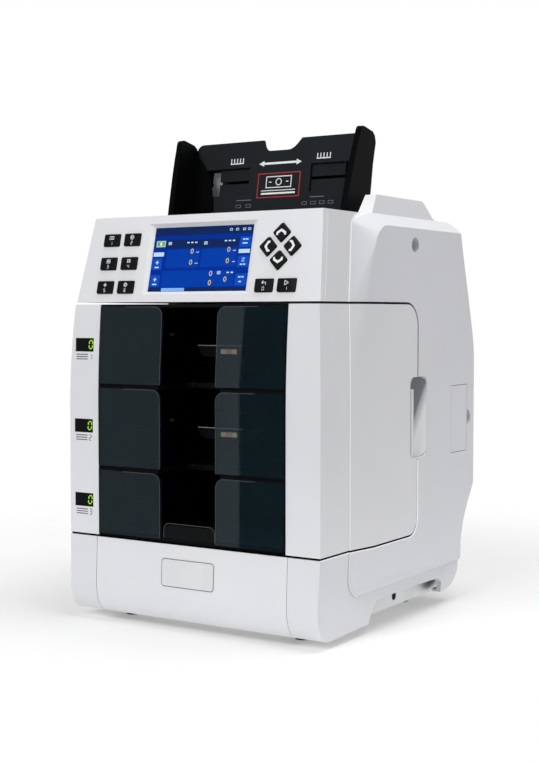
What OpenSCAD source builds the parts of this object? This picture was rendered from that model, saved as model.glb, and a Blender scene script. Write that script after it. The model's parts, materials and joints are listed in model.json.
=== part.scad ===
// Desktop banknote sorter: a top hopper, two stacking pockets and a reject pocket.
// Millimetres, +Z up, front towards -Y, origin on the floor under the middle of the casing.

/* [Casing] */
// Width across the front
front_w = 280; // [274:1:292]
// How far each side panel swells beyond the front width
side_swell = 6.5; // [5:0.5:8]
// Depth from the door face to the rearmost point
body_d = 312.5; // [308:0.5:322]
// Height of the top cover above the floor
body_h = 385; // [382:1:392]
// Thickness of the moulded walls
wall = 2.6; // [2.2:0.1:3]
// Height of the skirt above the floor
skirt_z = 7; // [5:0.5:9]
// How far the base front stands ahead of the door
base_bulge = 2; // [1.5:0.5:4]
// Hairline between mouldings that meet
seam = 0.4; // [0.2:0.1:0.6]
// How far the door face leans back at its top
face_lean = 5; // [3:0.5:7]
// Height at which the door face starts to lean
lean_z = 200; // [185:1:220]
// Half width lost between the lean height and the top of the door
door_taper = 4; // [2:0.5:6]
// Half width lost over the height of the control panel
panel_taper = 8.5; // [6:0.5:11]
// Radius of the upright rear corners
rear_corner = 14; // [8:1:18]
// Depth of the recess low on the rear
rear_recess = 41.5; // [38:0.5:44]

/* [Side panels] */
// Where the raised side panel starts behind the door face
step_y = 51; // [46:1:56]
// How far the raised side panel steps out
step_h = 1; // [0.6:0.1:1.6]
// Length of the slope from the step to the flat of the side
slope_w = 34; // [28:1:40]
// Height of the sloped shoulder along the top edge
shoulder = 11; // [9:0.5:13]
// Bottom of the raised side panel
panel_z = 40; // [36:1:44]
// Front end of the carry notch
notch_y0 = 95; // [88:1:100]
// Rear end of the carry notch
notch_y1 = 238; // [230:1:244]
// Top of the carry notch
notch_z = 29; // [26:1:32]

/* [Door] */
// Bottom of the door opening
door_bottom = 82; // [79:1:84]
// Depth of the door block
door_y = 172; // [170:1:176]
// Visible gap round the door
door_gap = 2; // [1.6:0.1:2.4]
// Corner radius of the door on its free side, top
door_corner_top = 22; // [16:1:26]
// Corner radius of the door on its free side, bottom
door_corner_low = 16; // [12:1:20]
// Radius of the hinge pins
hinge_pin_r = 2; // [1.6:0.1:2.4]
// Distance of the hinge axis from the outer face of the side
hinge_inset = 5.5; // [5.2:0.1:6]
// Distance of the hinge axis ahead of the door's rear edge
hinge_setback = 9; // [8.5:0.1:10]
// Height of the finger recess
recess_h = 78; // [66:1:84]
// Length of the finger recess on the door side of the gap
recess_front = 15; // [12:1:18]
// Length of the finger recess behind the gap
recess_rear = 19; // [15:1:22]
// Depth of the finger recess
recess_depth = 12; // [9:0.5:13]

/* [Pockets] */
// Width of the white strips beside the pockets
strip_w = 35; // [34:0.5:38]
// Wall of the pocket frame
frame_t = 3; // [2.5:0.1:3.5]
// Height of the reject pocket with its shelf
reject_h = 65.5; // [63:0.5:68]
// Thickness of the shelves
shelf_t = 5; // [4:0.5:6]
// Depth of the shelves
shelf_d = 112; // [106:1:116]
// Thickness of the smoked guards
guard_t = 2.5; // [2:0.1:3]
// Free width between the left and right guards
guard_slot = 62; // [56:1:68]
// Gap between guards above each other
guard_gap = 4; // [3:0.5:5]
// Radius of the guards' inner top corners
guard_corner = 9; // [6:0.5:12]
// Width of the finger cut in the shelves
finger_w = 69; // [60:1:72]
// Depth of the finger cut in the shelves
finger_d = 50; // [40:1:56]
// Height of the lip in front of the reject tray
lip_h = 10; // [7:0.5:12]
// Height of the note arms above the shelves
arm_z = 36; // [32:1:40]
// Width of the note arms
arm_w = 52; // [44:1:58]

/* [Stacker wheels] */
// Radius over the vanes
wheel_r = 28; // [26:0.5:29]
// Width of one wheel
wheel_w = 14; // [10:1:18]
// Distance between the two wheels on a shaft
wheel_span = 84; // [72:1:90]
// Vanes on one wheel
vane_count = 12; // [8:1:14]
// Thickness of one vane
vane_t = 1.6; // [1.2:0.1:2]
// Radius of the stacker shafts
stack_shaft_r = 3; // [2.5:0.1:3.5]

/* [Displays] */
// Width of a pocket display
display_w = 22; // [19:0.5:24]
// Height of a pocket display
display_h = 12.6; // [10:0.2:14]

/* [Control panel] */
// Lean of the panel from upright
panel_lean = 13.5; // [11:0.5:15]
// Depth of the panel moulding behind its face
panel_return = 9.5; // [8:0.5:11]
// Height of the panel
panel_h = 82; // [80:0.5:84]
// Width of the panel's side strips
side_strip = 24; // [22:1:26]
// How far the panel's side strips fall back
strip_drop = 1.4; // [0.8:0.1:1.8]
// Screen width
screen_w = 110; // [104:1:114]
// Screen height
screen_h = 61.5; // [58:0.5:63]
// Bevel beside the screen
bevel_x = 5.6; // [4:0.2:6]
// Bevel above and below the screen
bevel_z = 3.2; // [2.4:0.2:3.6]
// Depth of the screen behind the panel face
screen_depth = 3.4; // [3:0.1:4]
// Height of the screen's middle along the panel
screen_mid = 42.5; // [41:0.5:44]
// Width of a rectangular key
key_w = 18.6; // [16:0.2:19.4]
// Height of a rectangular key
key_h = 11.8; // [10:0.2:13]
// Side of a diamond key
arrow_side = 13; // [11:0.2:13.4]
// How far a key stands proud
key_proud = 1.6; // [1.2:0.1:2.2]
// Travel of a key
key_travel = 0.8; // [0.6:0.1:1]
// Gap round a key
key_gap = 0.4; // [0.3:0.05:0.6]

/* [Hopper] */
// Front face of the hopper back plate at the height of the top cover
hopper_y = 148; // [145:1:151]
// Lean of the hopper back plate
hopper_lean = 9.5; // [8:0.5:11]
// Height of the back plate along its slope
hopper_h = 84; // [82:1:88]
// Thickness of the back plate
back_t = 3; // [2.5:0.1:3.5]
// Distance of an open note guide from the side of the front
guide_inset = 42.5; // [41:0.5:44]
// Travel of each note guide
guide_travel = 40; // [34:1:42]
// Outward flare of the note guides
guide_flare = 3; // [2.5:0.5:4.5]
// Thickness of the note guides
guide_t = 6; // [5:0.5:7]
// Reach of the note guides ahead of the back plate
guide_reach = 41; // [38:1:43]
// Middle of the back plate windows along the slope
slot_mid = 42.6; // [41:0.2:44]
// Height of the back plate windows
slot_h = 28; // [25:0.5:30]
// Slope of the feed table
table_slope = 17.5; // [16:0.5:19]
// Front edge of the feed table
table_y = 98; // [95:1:101]

/* [Rack and pinion] */
// Module of the teeth
gear_module = 1.5; // [1.4:0.05:1.6]
// Teeth on the pinion
pinion_teeth = 16; // [12:4:16]
// Backlash of the teeth
backlash = 0.4; // [0.3:0.05:0.5]

/* [Hump] */
// Height of the hump on the right of the top
hump_h = 18; // [14:1:20]
// Front end of the hump
hump_y0 = 98; // [94:1:104]
// Rear end of the hump
hump_y1 = 237; // [230:1:240]

/* [Feet and tray] */
// Radius of the feet
foot_r = 8.5; // [7:0.5:10]
// Underside of the base tray
tray_z = 12; // [11:0.5:13]
// Sheet thickness of the tray and the frame plates
sheet_t = 3; // [2:0.2:3.2]
// Distance of the base tray from the side of the front
tray_inset = 13; // [12:0.5:15]

/* [Drive] */
// Radius of the transport rollers
roller_r = 13; // [12:0.5:13.5]
// Radius of the drive shafts
shaft_r = 4; // [3.5:0.1:4.5]
// Radius of the belt pulleys
pulley_r = 9; // [8:0.5:9.5]
// Width of the drive belt
belt_w = 8; // [6:0.5:9]
// Thickness of the drive belt
belt_t = 1.5; // [1.2:0.1:1.8]
// Radius of the motor
motor_r = 24; // [20:1:26]
// Length of the motor
motor_l = 46; // [40:1:52]
// Running clearance of shafts and pins
run_fit = 0.08; // [0.05:0.01:0.1]

/* [Ports and power] */
// Front edge of the port flap
flap_y = 247; // [244:1:249]
// Length of the port flap
flap_w = 37; // [32:1:38]
// Height of the port flap
flap_h = 67; // [60:1:72]
// Height of the flap's middle above the floor
flap_z = 187.5; // [180:0.5:195]
// Width of the mains inlet
inlet_w = 28; // [26:0.5:30]
// Height of the mains inlet
inlet_h = 20; // [18:0.5:21]
// Height of the inlet and the switch above the floor
inlet_z = 46; // [45:0.5:47]

/* [Hidden] */
$fn = 48;

// Half gap taken from each side of the door opening and of a hairline
half_gap = door_gap / 2;
half_seam = seam / 2;
// Middle of the casing's depth, which becomes Y = 0
mid_y = (body_d - base_bulge) / 2;
// A length that reaches past the casing on every side
far = 700;
// A cut that must pass just beyond a face
past = 0.5;
side_x = front_w / 2 + side_swell;
// Seams between the centre mouldings and the side covers
cover_inset = 22.6;
cheek_inset = 33;
cover_x = front_w / 2 - cover_inset;
cheek_x = front_w / 2 - cheek_inset;
tray_x = front_w / 2 - tray_inset;
panel_flat = front_w / 2 - side_strip;
// Inner faces of the steel side plates of the frame
plate_inset = 30;
plate_x = front_w / 2 - plate_inset;
// Edge of the pocket opening in the door's front, and the clear width of the pockets
strip_x = front_w / 2 - strip_w;
pocket_w = 2 * (strip_x - frame_t);
door_top = body_h - panel_h;
door_z0 = door_bottom + half_gap;
door_z1 = door_top - half_gap;
door_back = door_y - half_gap;
// Shelf middles; the two stacking pockets share the height above the reject pocket
stacker_h = (door_top - door_bottom - reject_h) / 2;
shelf_low = door_bottom + reject_h;
shelf_high = shelf_low + stacker_h;
pocket_mid = [
  (shelf_high + door_z1) / 2,
  (shelf_low + shelf_high) / 2,
  (door_z0 + shelf_low) / 2
];
// Base front, from the skirt up to the brow below the door
toe_y = 19;
brow_z = 38;
heel_z = 14;
rear_low_y = body_d - rear_recess;
rear_top_y = body_d - 44.5;
rear_seam_y = 238;

// Cubic curve through four control points, as n + 1 points
function curve(p, n) = [
  for (i = [0:n])
    let (s = i / n, r = 1 - s)
    r * r * r * p[0] + 3 * r * r * s * p[1] + 3 * r * s * s * p[2] + s * s * s * p[3]
];
function tail(list) = [for (i = [1:len(list) - 1]) list[i]];
// How far up the leaning part of the door a height lies
function lean_share(z) = max(0, (z - lean_z) / (door_top - lean_z));
// Distance of the front face behind the door plane
function face_y(z) = z <= door_top
  ? face_lean * pow(lean_share(z), 2)
  : face_lean + (z - door_top) * tan(panel_lean);
// Half width of the front at a height
function half_w(z) = z <= door_top
  ? front_w / 2 - door_taper * pow(lean_share(z), 2)
  : front_w / 2 - door_taper - panel_taper * (z - door_top) / (body_h - door_top);
// Heights that sample the leaning part of the door
lean_steps = [for (i = [0:8]) lean_z + (door_top - lean_z) * i / 8];

// Sweeps a Y-Z outline along X, an X-Z outline along Y, or an X-Y outline along Z
module along_x(x0, x1) {
  translate([x0, 0, 0]) rotate([90, 0, 90]) linear_extrude(x1 - x0) children();
}
module along_y(y0, y1) {
  translate([0, y1, 0]) rotate([90, 0, 0]) linear_extrude(y1 - y0) children();
}
module along_z(z0, z1) {
  translate([0, 0, z0]) linear_extrude(z1 - z0) children();
}
// Box from one corner to the opposite one
module block(a, b) {
  translate(a) cube(b - a);
}
// Rectangle with round corners about its own middle
module round_rect(w, h, r) {
  square([w - 2 * r, h], center = true);
  square([w, h - 2 * r], center = true);
  for (x = [-1, 1], z = [-1, 1])
    translate([x * (w / 2 - r), z * (h / 2 - r)]) circle(r);
}
// Shaft along X
module rod(x0, x1, y, z, r) {
  translate([x0, y, z]) rotate([0, 90, 0]) cylinder(h = x1 - x0, r = r);
}
module both_sides() {
  children();
  mirror([1, 0, 0]) children();
}

// Side view of the casing, drawn in by t
function side_outline(t) = concat(
  curve([[toe_y, skirt_z + t], [toe_y * 0.3, skirt_z + t],
         [t - base_bulge, skirt_z + 11], [t - base_bulge, brow_z]], 7),
  [[t, door_bottom]],
  [for (z = lean_steps) [face_y(z) + t, z]],
  [[face_y(body_h - t) + t, body_h - t]],
  curve([[rear_top_y - 14, body_h - t], [rear_top_y - 5, body_h - t],
         [rear_top_y - 1 - t, body_h - 3 - t], [rear_top_y - t, body_h - 12 - t]], 5),
  tail(curve([[rear_top_y - t, body_h - 12 - t], [body_d - 31.5 - t, body_h - 65],
         [body_d - t, 250], [body_d - t, 165]], 9)),
  curve([[body_d - t, 141], [body_d - t, 122],
         [rear_low_y + 9.4 - t, 104], [rear_low_y - t, 62]], 8),
  curve([[rear_low_y - t, 34], [rear_low_y - t, 24],
         [rear_low_y - 10, heel_z + t], [rear_low_y - 22, heel_z + t]], 5)
);

// Front view of the casing without its side panels
function front_outline(t) = let (
  right = concat(
    [[half_w(0) - 1.5 - t, -past], [half_w(0) - 1.5 - t, brow_z], [half_w(0) - t, door_bottom]],
    [for (z = lean_steps) [half_w(z) - t, z]],
    [[half_w(body_h + past) - t, body_h + past]]
  )
) concat(right, [for (i = [len(right) - 1:-1:0]) [-right[i][0], right[i][1]]]);

// Plan of the casing with round rear corners
module plan_area(t) {
  w = 2 * (side_x - t);
  r = rear_corner;
  translate([-w / 2, -far / 2]) square([w, far / 2 + body_d - t - r]);
  translate([-w / 2 + r, -far / 2]) square([w - 2 * r, far / 2 + body_d - t]);
  for (x = [-1, 1]) translate([x * (w / 2 - r), body_d - t - r]) circle(r);
}

// Corner sizes of the raised side panel: low front, upper front of the step and of the flat
low_r = 18;
step_corner = [24, 16];
flat_corner = [25, 26];
// Share of a corner's size at which the control points of a round corner lie
round_share = 0.45;
// Size of a corner point of the side panel's form
dot = 0.02;
// How far the flat of the side starts above the bottom of the raised panel
flat_rise = 11;
// Depth of the side panel's form inside the casing
panel_root = 30;
// Quarter round from [y0, z1 - h] to [y0 + w, z1]
function top_corner(y0, z1, w, h) = curve([
  [y0, z1 - h], [y0, z1 - h * round_share], [y0 + w * round_share, z1], [y0 + w, z1]
], 6);
// Quarter round of radius low_r from the bottom z0 up to the front edge y0
function low_corner(y0, z0) = [
  for (a = [0:22.5:90]) [y0 + low_r * (1 - sin(a)), z0 + low_r * (1 - cos(a))]
];
// Edge of the step in side view: it leans back with the front face
step_top_y = step_y + face_y(body_h - step_corner[1]);
function step_edge(t) = concat(
  low_corner(step_y + t, panel_z + t),
  [for (z = lean_steps) [step_y + t + face_y(z), z]],
  top_corner(step_top_y + t, body_h - t, step_corner[0], step_corner[1])
);
// Side view of the panel from a front edge y0 back past the casing
function level_outline(y0, z0, z1, corner) = concat(
  low_corner(y0, z0),
  top_corner(y0, z1, corner[0], corner[1]),
  [[body_d + 20, z1], [body_d + 20, z0 - 8]]
);

// Raised right side panel: a step, a shallow slope and a flat
module side_panel(t) {
  root_x = front_w / 2 - panel_root;
  hull() {
    for (p = step_edge(t))
      translate([half_w(p[1]) + step_h - t, p[0], p[1]]) cube(dot, center = true);
    along_x(root_x, root_x + 1)
      polygon(level_outline(step_top_y + t, panel_z + t, body_h - shoulder - t, flat_corner));
    along_x(root_x, side_x - shoulder - 1 - t)
      translate([step_top_y + step_corner[0] + t, body_h - shoulder]) square([body_d, shoulder + 1 - t]);
    along_x(root_x, side_x - t)
      polygon(level_outline(step_y + slope_w + t, panel_z + flat_rise + t,
        body_h - shoulder - t, flat_corner));
  }
}
// Lower rear of the side: the skirt spreads in a solid heel to meet the raised panel
flare_y = 175;
flare_in = 3;
flare_root = panel_root - 5;
module heel_flare() {
  root_x = front_w / 2 - flare_root;
  skirt_x = half_w(0) - 2.2;
  hull() {
    block([root_x, flare_y, 1], [skirt_x, body_d + 5, heel_z]);
    block([root_x, flare_y, 1], [skirt_x, flare_y + 1, panel_z + flat_rise - 1]);
    block([root_x, rear_low_y, panel_z - flat_rise / 2],
          [side_x - flare_in, body_d + 5, panel_z + flat_rise - 1]);
  }
}
// Casing without its raised sides, drawn in by t
module core_form(t) {
  intersection() {
    along_x(-far / 2, far / 2) polygon(side_outline(t));
    along_y(-far / 2, far) polygon(front_outline(t));
    along_z(-far / 2, far) plan_area(t);
  }
}
// Right half of the casing with its raised side, drawn in by t
module half_form(t) {
  intersection() {
    along_x(0, far / 2) polygon(side_outline(t));
    union() {
      along_y(-far / 2, far) polygon(front_outline(t));
      side_panel(t);
      if (t == 0) heel_flare();
    }
    along_z(-far / 2, far) plan_area(t);
  }
}
// Space of the door, grown by g, with its two rear corner radii
module door_zone(g, r_top, r_low) {
  y1 = door_y + g;
  z0 = door_bottom - g;
  z1 = door_top + g;
  rt = r_top + g;
  rl = r_low + g;
  along_x(0, far / 2) {
    translate([-far / 4, z0]) square([far / 4 + y1 - max(rt, rl), z1 - z0]);
    translate([-far / 4, z0 + rl]) square([far / 4 + y1, z1 - z0 - rl - rt]);
    translate([-far / 4, z0]) square([far / 4 + y1 - rl, rl + past]);
    translate([-far / 4, z1 - rt - past]) square([far / 4 + y1 - rt, rt + past]);
    translate([y1 - rt, z1 - rt]) circle(rt);
    translate([y1 - rl, z0 + rl]) circle(rl);
  }
}
// The hinge side of the door has nearly square corners
hinge_corner = 4;
module free_door_zone(g) door_zone(g, door_corner_top, door_corner_low);
// Space of the control panel, grown by g at its rear seam
panel_z0 = door_top + half_gap;
module panel_zone(g) {
  along_x(-far / 2, far / 2) polygon([
    [-far / 4, panel_z0],
    [face_y(door_top) + panel_return + g, panel_z0],
    [face_y(body_h + 20) + panel_return + g, body_h + 20],
    [-far / 4, body_h + 20]
  ]);
}

// Space under the side covers that the tray and the feet take
cheek_d = 30;
module tray_room() {
  block([0, cheek_d, -far / 4], [tray_x + 4, body_d, door_bottom - half_gap - wall - 0.01]);
}
module carry_notch() {
  along_x(tray_x, far / 2) polygon([
    [notch_y0 - 7, -past], [notch_y0 - 5, skirt_z + 3], [notch_y0 + 5, notch_z - 4],
    [notch_y0 + 11, notch_z], [notch_y1 - 7, notch_z], [notch_y1 - 1, notch_z - 5], [notch_y1, -past]
  ]);
}
// Screw well in the upper side
well_r = 7.5;
well_y = 165.5;
well_z = body_h - 27;
well_depth = 11;
screw_r = 4;
screw_h = 2.6;
// Shell of a side cover: the raised side round the door, with its front cheek
module side_cover_shell(g_top, g_low) {
  difference() {
    union() {
      difference() {
        half_form(0);
        door_zone(half_gap, g_top, g_low);
        panel_zone(half_seam);
        difference() {
          half_form(wall);
          door_zone(half_gap + wall, g_top, g_low);
        }
      }
      // Cup of the screw well
      rod(side_x - well_depth - wall, side_x - past, well_y, well_z, well_r + wall);
    }
    rod(side_x - well_depth, far / 4, well_y, well_z, well_r);
    rod(side_x - well_depth - 2 * wall, far / 4, well_y, well_z, screw_r / 2 + run_fit);
    // Inner edge, nearer the middle below the door
    block([-1, -far / 4, door_bottom], [cover_x + half_seam, far, far]);
    block([-1, -far / 4, -far / 4], [cheek_x + half_seam, far, door_bottom + past]);
    block([-1, door_y + 8, -far / 4], [cover_x + half_seam, far, door_bottom + past]);
    tray_room();
    carry_notch();
  }
}

// Finger recess with round corners: a shallow dish on the door and a deep scoop behind the gap
recess_z = (door_bottom + door_top) / 2 + 1.5;
recess_corner = 8;
dish_depth = 4;
// The dish is as deep as the scoop over this height at its top
dish_deep_h = 12;
cup_t = 2;
module recess_outline(g) {
  y0 = door_back - recess_front - g;
  y1 = door_y + half_gap + recess_rear + g;
  translate([(y0 + y1) / 2, recess_z]) round_rect(y1 - y0, recess_h + 2 * g, recess_corner + g);
}
module recess_dish(g) {
  along_x(side_x - dish_depth - g, far / 4) recess_outline(g);
  intersection() {
    along_x(side_x - recess_depth - g, far / 4) recess_outline(g);
    block([0, 0, recess_z + recess_h / 2 - dish_deep_h - g], [far, far, far]);
  }
}
module recess_scoop(g) {
  y0 = door_y + half_gap;
  intersection() {
    along_x(0, far / 4) recess_outline(g);
    along_z(0, far) polygon([
      [side_x + 1 + g, y0 + recess_rear + 1.5 + g],
      [side_x - recess_depth - g, y0 + 4 + g],
      [side_x - recess_depth - g, y0 - 1],
      [side_x + 1 + g, y0 - 1]
    ]);
  }
}
// Hump on the right of the top, drawn in by t
hump_x0 = cover_x + cover_inset / 9;
hump_lean = 4;
hump_front = 17;
hump_rear = 27;
// Foot of the rear slope that flares out
hump_flare = 10;
module hump_form(t) {
  z1 = body_h + hump_h - t;
  x1 = side_x - shoulder;
  intersection() {
    along_x(0, far / 4) polygon([
      [hump_y0 + t, body_h - wall - past], [hump_y0 + hump_front + t, z1],
      [hump_y1 - hump_rear - t, z1], [hump_y1 - hump_flare - t, body_h + hump_flare / 5 - t],
      [hump_y1 - t, body_h - wall - past]
    ]);
    along_y(0, far) polygon([
      [hump_x0 + t, body_h - wall - past], [hump_x0 + t, z1],
      [x1 - hump_lean - t, z1], [x1 - t, body_h - wall - past]
    ]);
  }
}
// Tub behind the port flap
flap_t = 2.2;
flap_gap = 0.5;
tub_depth = 13;
flap_axis_r = flap_t / 2;
flap_y1 = flap_y + flap_w;
module flap_tub(g) {
  block([side_x - tub_depth - g, flap_y - flap_gap - g, flap_z - flap_h / 2 - flap_gap - g],
        [side_x - (g > 0 ? past : -past), flap_y1 + flap_gap + g, flap_z + flap_h / 2 + flap_gap + g]);
}
flap_pin_r = 0.8;
flap_pin_l = 1.6;
// Half-round finger notch behind the flap's rear edge
grip_r = 8;
grip_depth = 5;
grip_y = flap_y1 + 1;
module right_side_cover() {
  color("gainsboro") difference() {
    union() {
      side_cover_shell(door_corner_top, door_corner_low);
      intersection() {
        recess_scoop(cup_t);
        half_form(0.01);
        block([0, door_y + half_gap, 0], [far, far, far]);
      }
      flap_tub(cup_t);
      intersection() {
        rod(side_x - grip_depth - cup_t, side_x - past, grip_y, flap_z, grip_r + cup_t);
        half_form(0.01);
      }
      hump_form(0);
    }
    recess_scoop(0);
    flap_tub(0);
    hump_form(wall);
    rod(side_x - grip_depth, side_x + past, grip_y, flap_z, grip_r);
    translate([side_x - flap_axis_r, flap_y + flap_axis_r, flap_z - flap_h / 2 - flap_pin_l - flap_gap])
      cylinder(h = flap_h + 2 * flap_pin_l + 2 * flap_gap, r = flap_pin_r + run_fit);
  }
}
module left_side_cover() {
  color("gainsboro") mirror([1, 0, 0]) difference() {
    side_cover_shell(hinge_corner, hinge_corner);
    hinge_bores();
  }
}
hinge_x = side_x - hinge_inset;
hinge_y = door_back - hinge_setback;
pin_l = 13;
hinge_z = [door_bottom - half_gap - wall, door_top + half_gap + wall - pin_l];
module hinge_bores() {
  for (z = hinge_z)
    translate([hinge_x, hinge_y, z - 1]) cylinder(h = pin_l + 2, r = hinge_pin_r + run_fit);
}
module hinge_pins() {
  color("silver") mirror([1, 0, 0]) for (z = hinge_z)
    translate([hinge_x, hinge_y, z]) cylinder(h = pin_l, r = hinge_pin_r);
}

// Badge plate on the leaning base front
badge_w = 59;
badge_h = 26;
badge_t = 1.2;
badge_sunk = 0.9;
badge_z = 55;
module badge_frame() {
  lean = atan(base_bulge / (door_bottom - brow_z));
  translate([0, -base_bulge + (badge_z - brow_z) * tan(lean), badge_z]) rotate([-lean, 0, 0]) children();
}
module badge_plate() {
  color("silver") badge_frame() along_y(badge_sunk - badge_t, badge_sunk) round_rect(badge_w, badge_h, 3);
}
// Front apron of the base with the deck under the door
tray_front = cheek_d + 3;
rib_x = 60;
rib_t = 2.4;
module base_front() {
  color("whitesmoke") difference() {
    union() {
      intersection() {
        block([-cheek_x + half_seam, -far / 4, 0], [cheek_x - half_seam, door_y, door_bottom - half_gap]);
        difference() {
          core_form(0);
          difference() {
            core_form(wall);
            block([-far, -far, door_bottom - half_gap - wall], [far, far, far]);
          }
          block([-far, toe_y - 4, -far], [far, far, tray_z + sheet_t + 4]);
        }
      }
      // Ribs that stand against the tray
      intersection() {
        core_form(past);
        for (x = [-rib_x, rib_x])
          block([x - rib_t / 2, -base_bulge, tray_z + sheet_t + 6],
                [x + rib_t / 2, tray_front, door_bottom - half_gap - past]);
      }
    }
    badge_frame() along_y(-past - badge_t, badge_sunk) round_rect(badge_w + 0.2, badge_h + 0.2, 3);
  }
}
// Sheet tray of the base
tray_wall_h = 22;
tray_back = rear_low_y - 9;
// Round hole seen in each carry notch
tray_hole_r = 4.2;
module base_tray() {
  color("gainsboro") difference() {
    block([-tray_x, tray_front, tray_z], [tray_x, tray_back, tray_z + tray_wall_h]);
    block([-tray_x + sheet_t, tray_front + sheet_t, tray_z + sheet_t],
          [tray_x - sheet_t, tray_back - sheet_t, far]);
    rod(-far / 4, far / 4, (notch_y0 + notch_y1) / 2 - 4.5, tray_z + 9.5, tray_hole_r);
  }
}
foot_inset = 30;
foot_x = tray_x - foot_inset;
foot_y = [tray_front + foot_r + 0.5, 236];
foot_taper = 1.5;
foot_hole_r = 3;
foot_hole_d = 3;
module feet() {
  color("dimgray") for (x = [-foot_x, foot_x], y = foot_y) translate([x, y, 0]) difference() {
    cylinder(h = tray_z, r1 = foot_r - foot_taper, r2 = foot_r);
    translate([0, 0, -past]) cylinder(h = foot_hole_d + past, r = foot_hole_r);
  }
}
rear_screw_x = cover_x - 13.4;
module cover_screws() {
  color("silver") {
    both_sides() rod(side_x - well_depth, side_x - well_depth + screw_h, well_y, well_z, screw_r);
    for (x = [-rear_screw_x, rear_screw_x]) translate([x, rear_low_y + screw_h, inlet_z])
      rotate([90, 0, 0]) cylinder(h = screw_h, r = screw_r);
  }
}

// Top cover with the hopper opening
opening_x = plate_x + 2;
module top_cover() {
  color("whitesmoke") difference() {
    intersection() {
      block([-cover_x + half_seam, 0, body_h - 20], [cover_x - half_seam, rear_seam_y - half_seam, far]);
      difference() {
        core_form(0);
        core_form(wall);
        panel_zone(half_seam);
      }
    }
    block([-opening_x, table_y - 3, 0], [opening_x, hopper_y + back_t + 1.5, far]);
  }
}
// Rear cover with vents, the inlet cut-out and the switch cut-out
vent_count = 8;
vent_pitch = 9;
vent_x = 46;
vent_w = 70;
vent_h = 4;
vent_z = 205;
inlet_x = -72;
rocker_x = -34;
rocker_w = 15;
rocker_h = 21;
module rear_cover() {
  color("whitesmoke") difference() {
    intersection() {
      block([-cover_x + half_seam, rear_seam_y + half_seam, 0], [cover_x - half_seam, far, far]);
      difference() {
        core_form(0);
        core_form(wall);
      }
    }
    block([-far, 0, 0], [far, tray_back + 1, tray_z + tray_wall_h + 2]);
    for (i = [0:vent_count - 1], x = [-vent_x, vent_x])
      translate([x, 0, vent_z + i * vent_pitch])
        along_y(rear_low_y - 10, far) round_rect(vent_w, vent_h, vent_h / 2 - 0.1);
    translate([inlet_x, 0, inlet_z]) along_y(rear_low_y - 10, far)
      square([inlet_w - 3, inlet_h - 3], center = true);
    translate([rocker_x, 0, inlet_z]) along_y(rear_low_y - 10, far)
      square([rocker_w + 0.2, rocker_h + 0.2], center = true);
  }
}
inlet_flange = 1.8;
inlet_l = 16;
module power_inlet() {
  color("dimgray") translate([inlet_x, rear_low_y, inlet_z]) difference() {
    union() {
      along_y(0, inlet_flange) round_rect(inlet_w, inlet_h, 2);
      along_y(-inlet_l, past) square([inlet_w - 3.4, inlet_h - 3.4], center = true);
    }
    along_y(3 - inlet_l, far)
      polygon([[-9.5, -5.5], [9.5, -5.5], [9.5, 2.5], [6.5, 5.5], [-6.5, 5.5], [-9.5, 2.5]]);
  }
}
// Rocker in its cut-out, drawn tipped to one side; it turns about X
rocker_r = 9;
rocker_tip = 10;
rocker_in = 5;
rocker_face = 8;
module power_rocker() {
  color("black") translate([rocker_x, rear_low_y - rocker_in, inlet_z])
    rotate([rocker_tip, 0, 0]) intersection() {
      rod(-rocker_w / 2 + 0.6, rocker_w / 2 - 0.6, 0, 0, rocker_r);
      block([-rocker_w, -6, -rocker_w], [rocker_w, rocker_face, rocker_w]);
    }
}

// Frame of the leaning control panel: X across, Z up the slope, -Y outwards
module panel_frame() {
  translate([0, face_lean, door_top]) rotate([-panel_lean, 0, 0]) children();
}
screen_off = 1;
boss_t = screen_depth - wall;
key_row = [61.7, 38.6, 15.5];
// Key columns, at distances beside the screen
left_col = [for (d = [48, 23.5]) screen_off - screen_w / 2 - d];
right_col = [for (d = [21.2, 44.8]) screen_off + screen_w / 2 + d];
arrow_mid = [(right_col[0] + right_col[1]) / 2, 50.8];
arrow_step = 12.6;
left_keys = [for (z = key_row, x = left_col) [x, z]];
right_keys = [for (x = right_col) [x, key_row[2]]];
arrow_keys = [
  arrow_mid + [0, arrow_step], arrow_mid - [0, arrow_step],
  arrow_mid - [arrow_step, 0], arrow_mid + [arrow_step, 0]
];
// Outline of a key or its hole, grown by g
module key_shape(at, diamond, g) {
  translate(at) if (diamond) rotate(45) round_rect(arrow_side + 2 * g, arrow_side + 2 * g, 1.6);
  else round_rect(key_w + 2 * g, key_h + 2 * g, 1.2);
}
module screen_bevel() {
  translate([screen_off, 0, screen_mid]) intersection() {
    along_z(-far / 8, far / 8) polygon([
      [-screen_w / 2 - bevel_x, 0], [-screen_w / 2, screen_depth], [-screen_w / 2, 9],
      [screen_w / 2, 9], [screen_w / 2, screen_depth], [screen_w / 2 + bevel_x, 0],
      [screen_w / 2 + bevel_x * 2, -screen_depth], [-screen_w / 2 - bevel_x * 2, -screen_depth]
    ]);
    along_x(-far / 8, far / 8) polygon([
      [0, -screen_h / 2 - bevel_z], [screen_depth, -screen_h / 2], [9, -screen_h / 2],
      [9, screen_h / 2], [screen_depth, screen_h / 2], [0, screen_h / 2 + bevel_z],
      [-screen_depth, screen_h / 2 + bevel_z * 2], [-screen_depth, -screen_h / 2 - bevel_z * 2]
    ]);
  }
}
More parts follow.
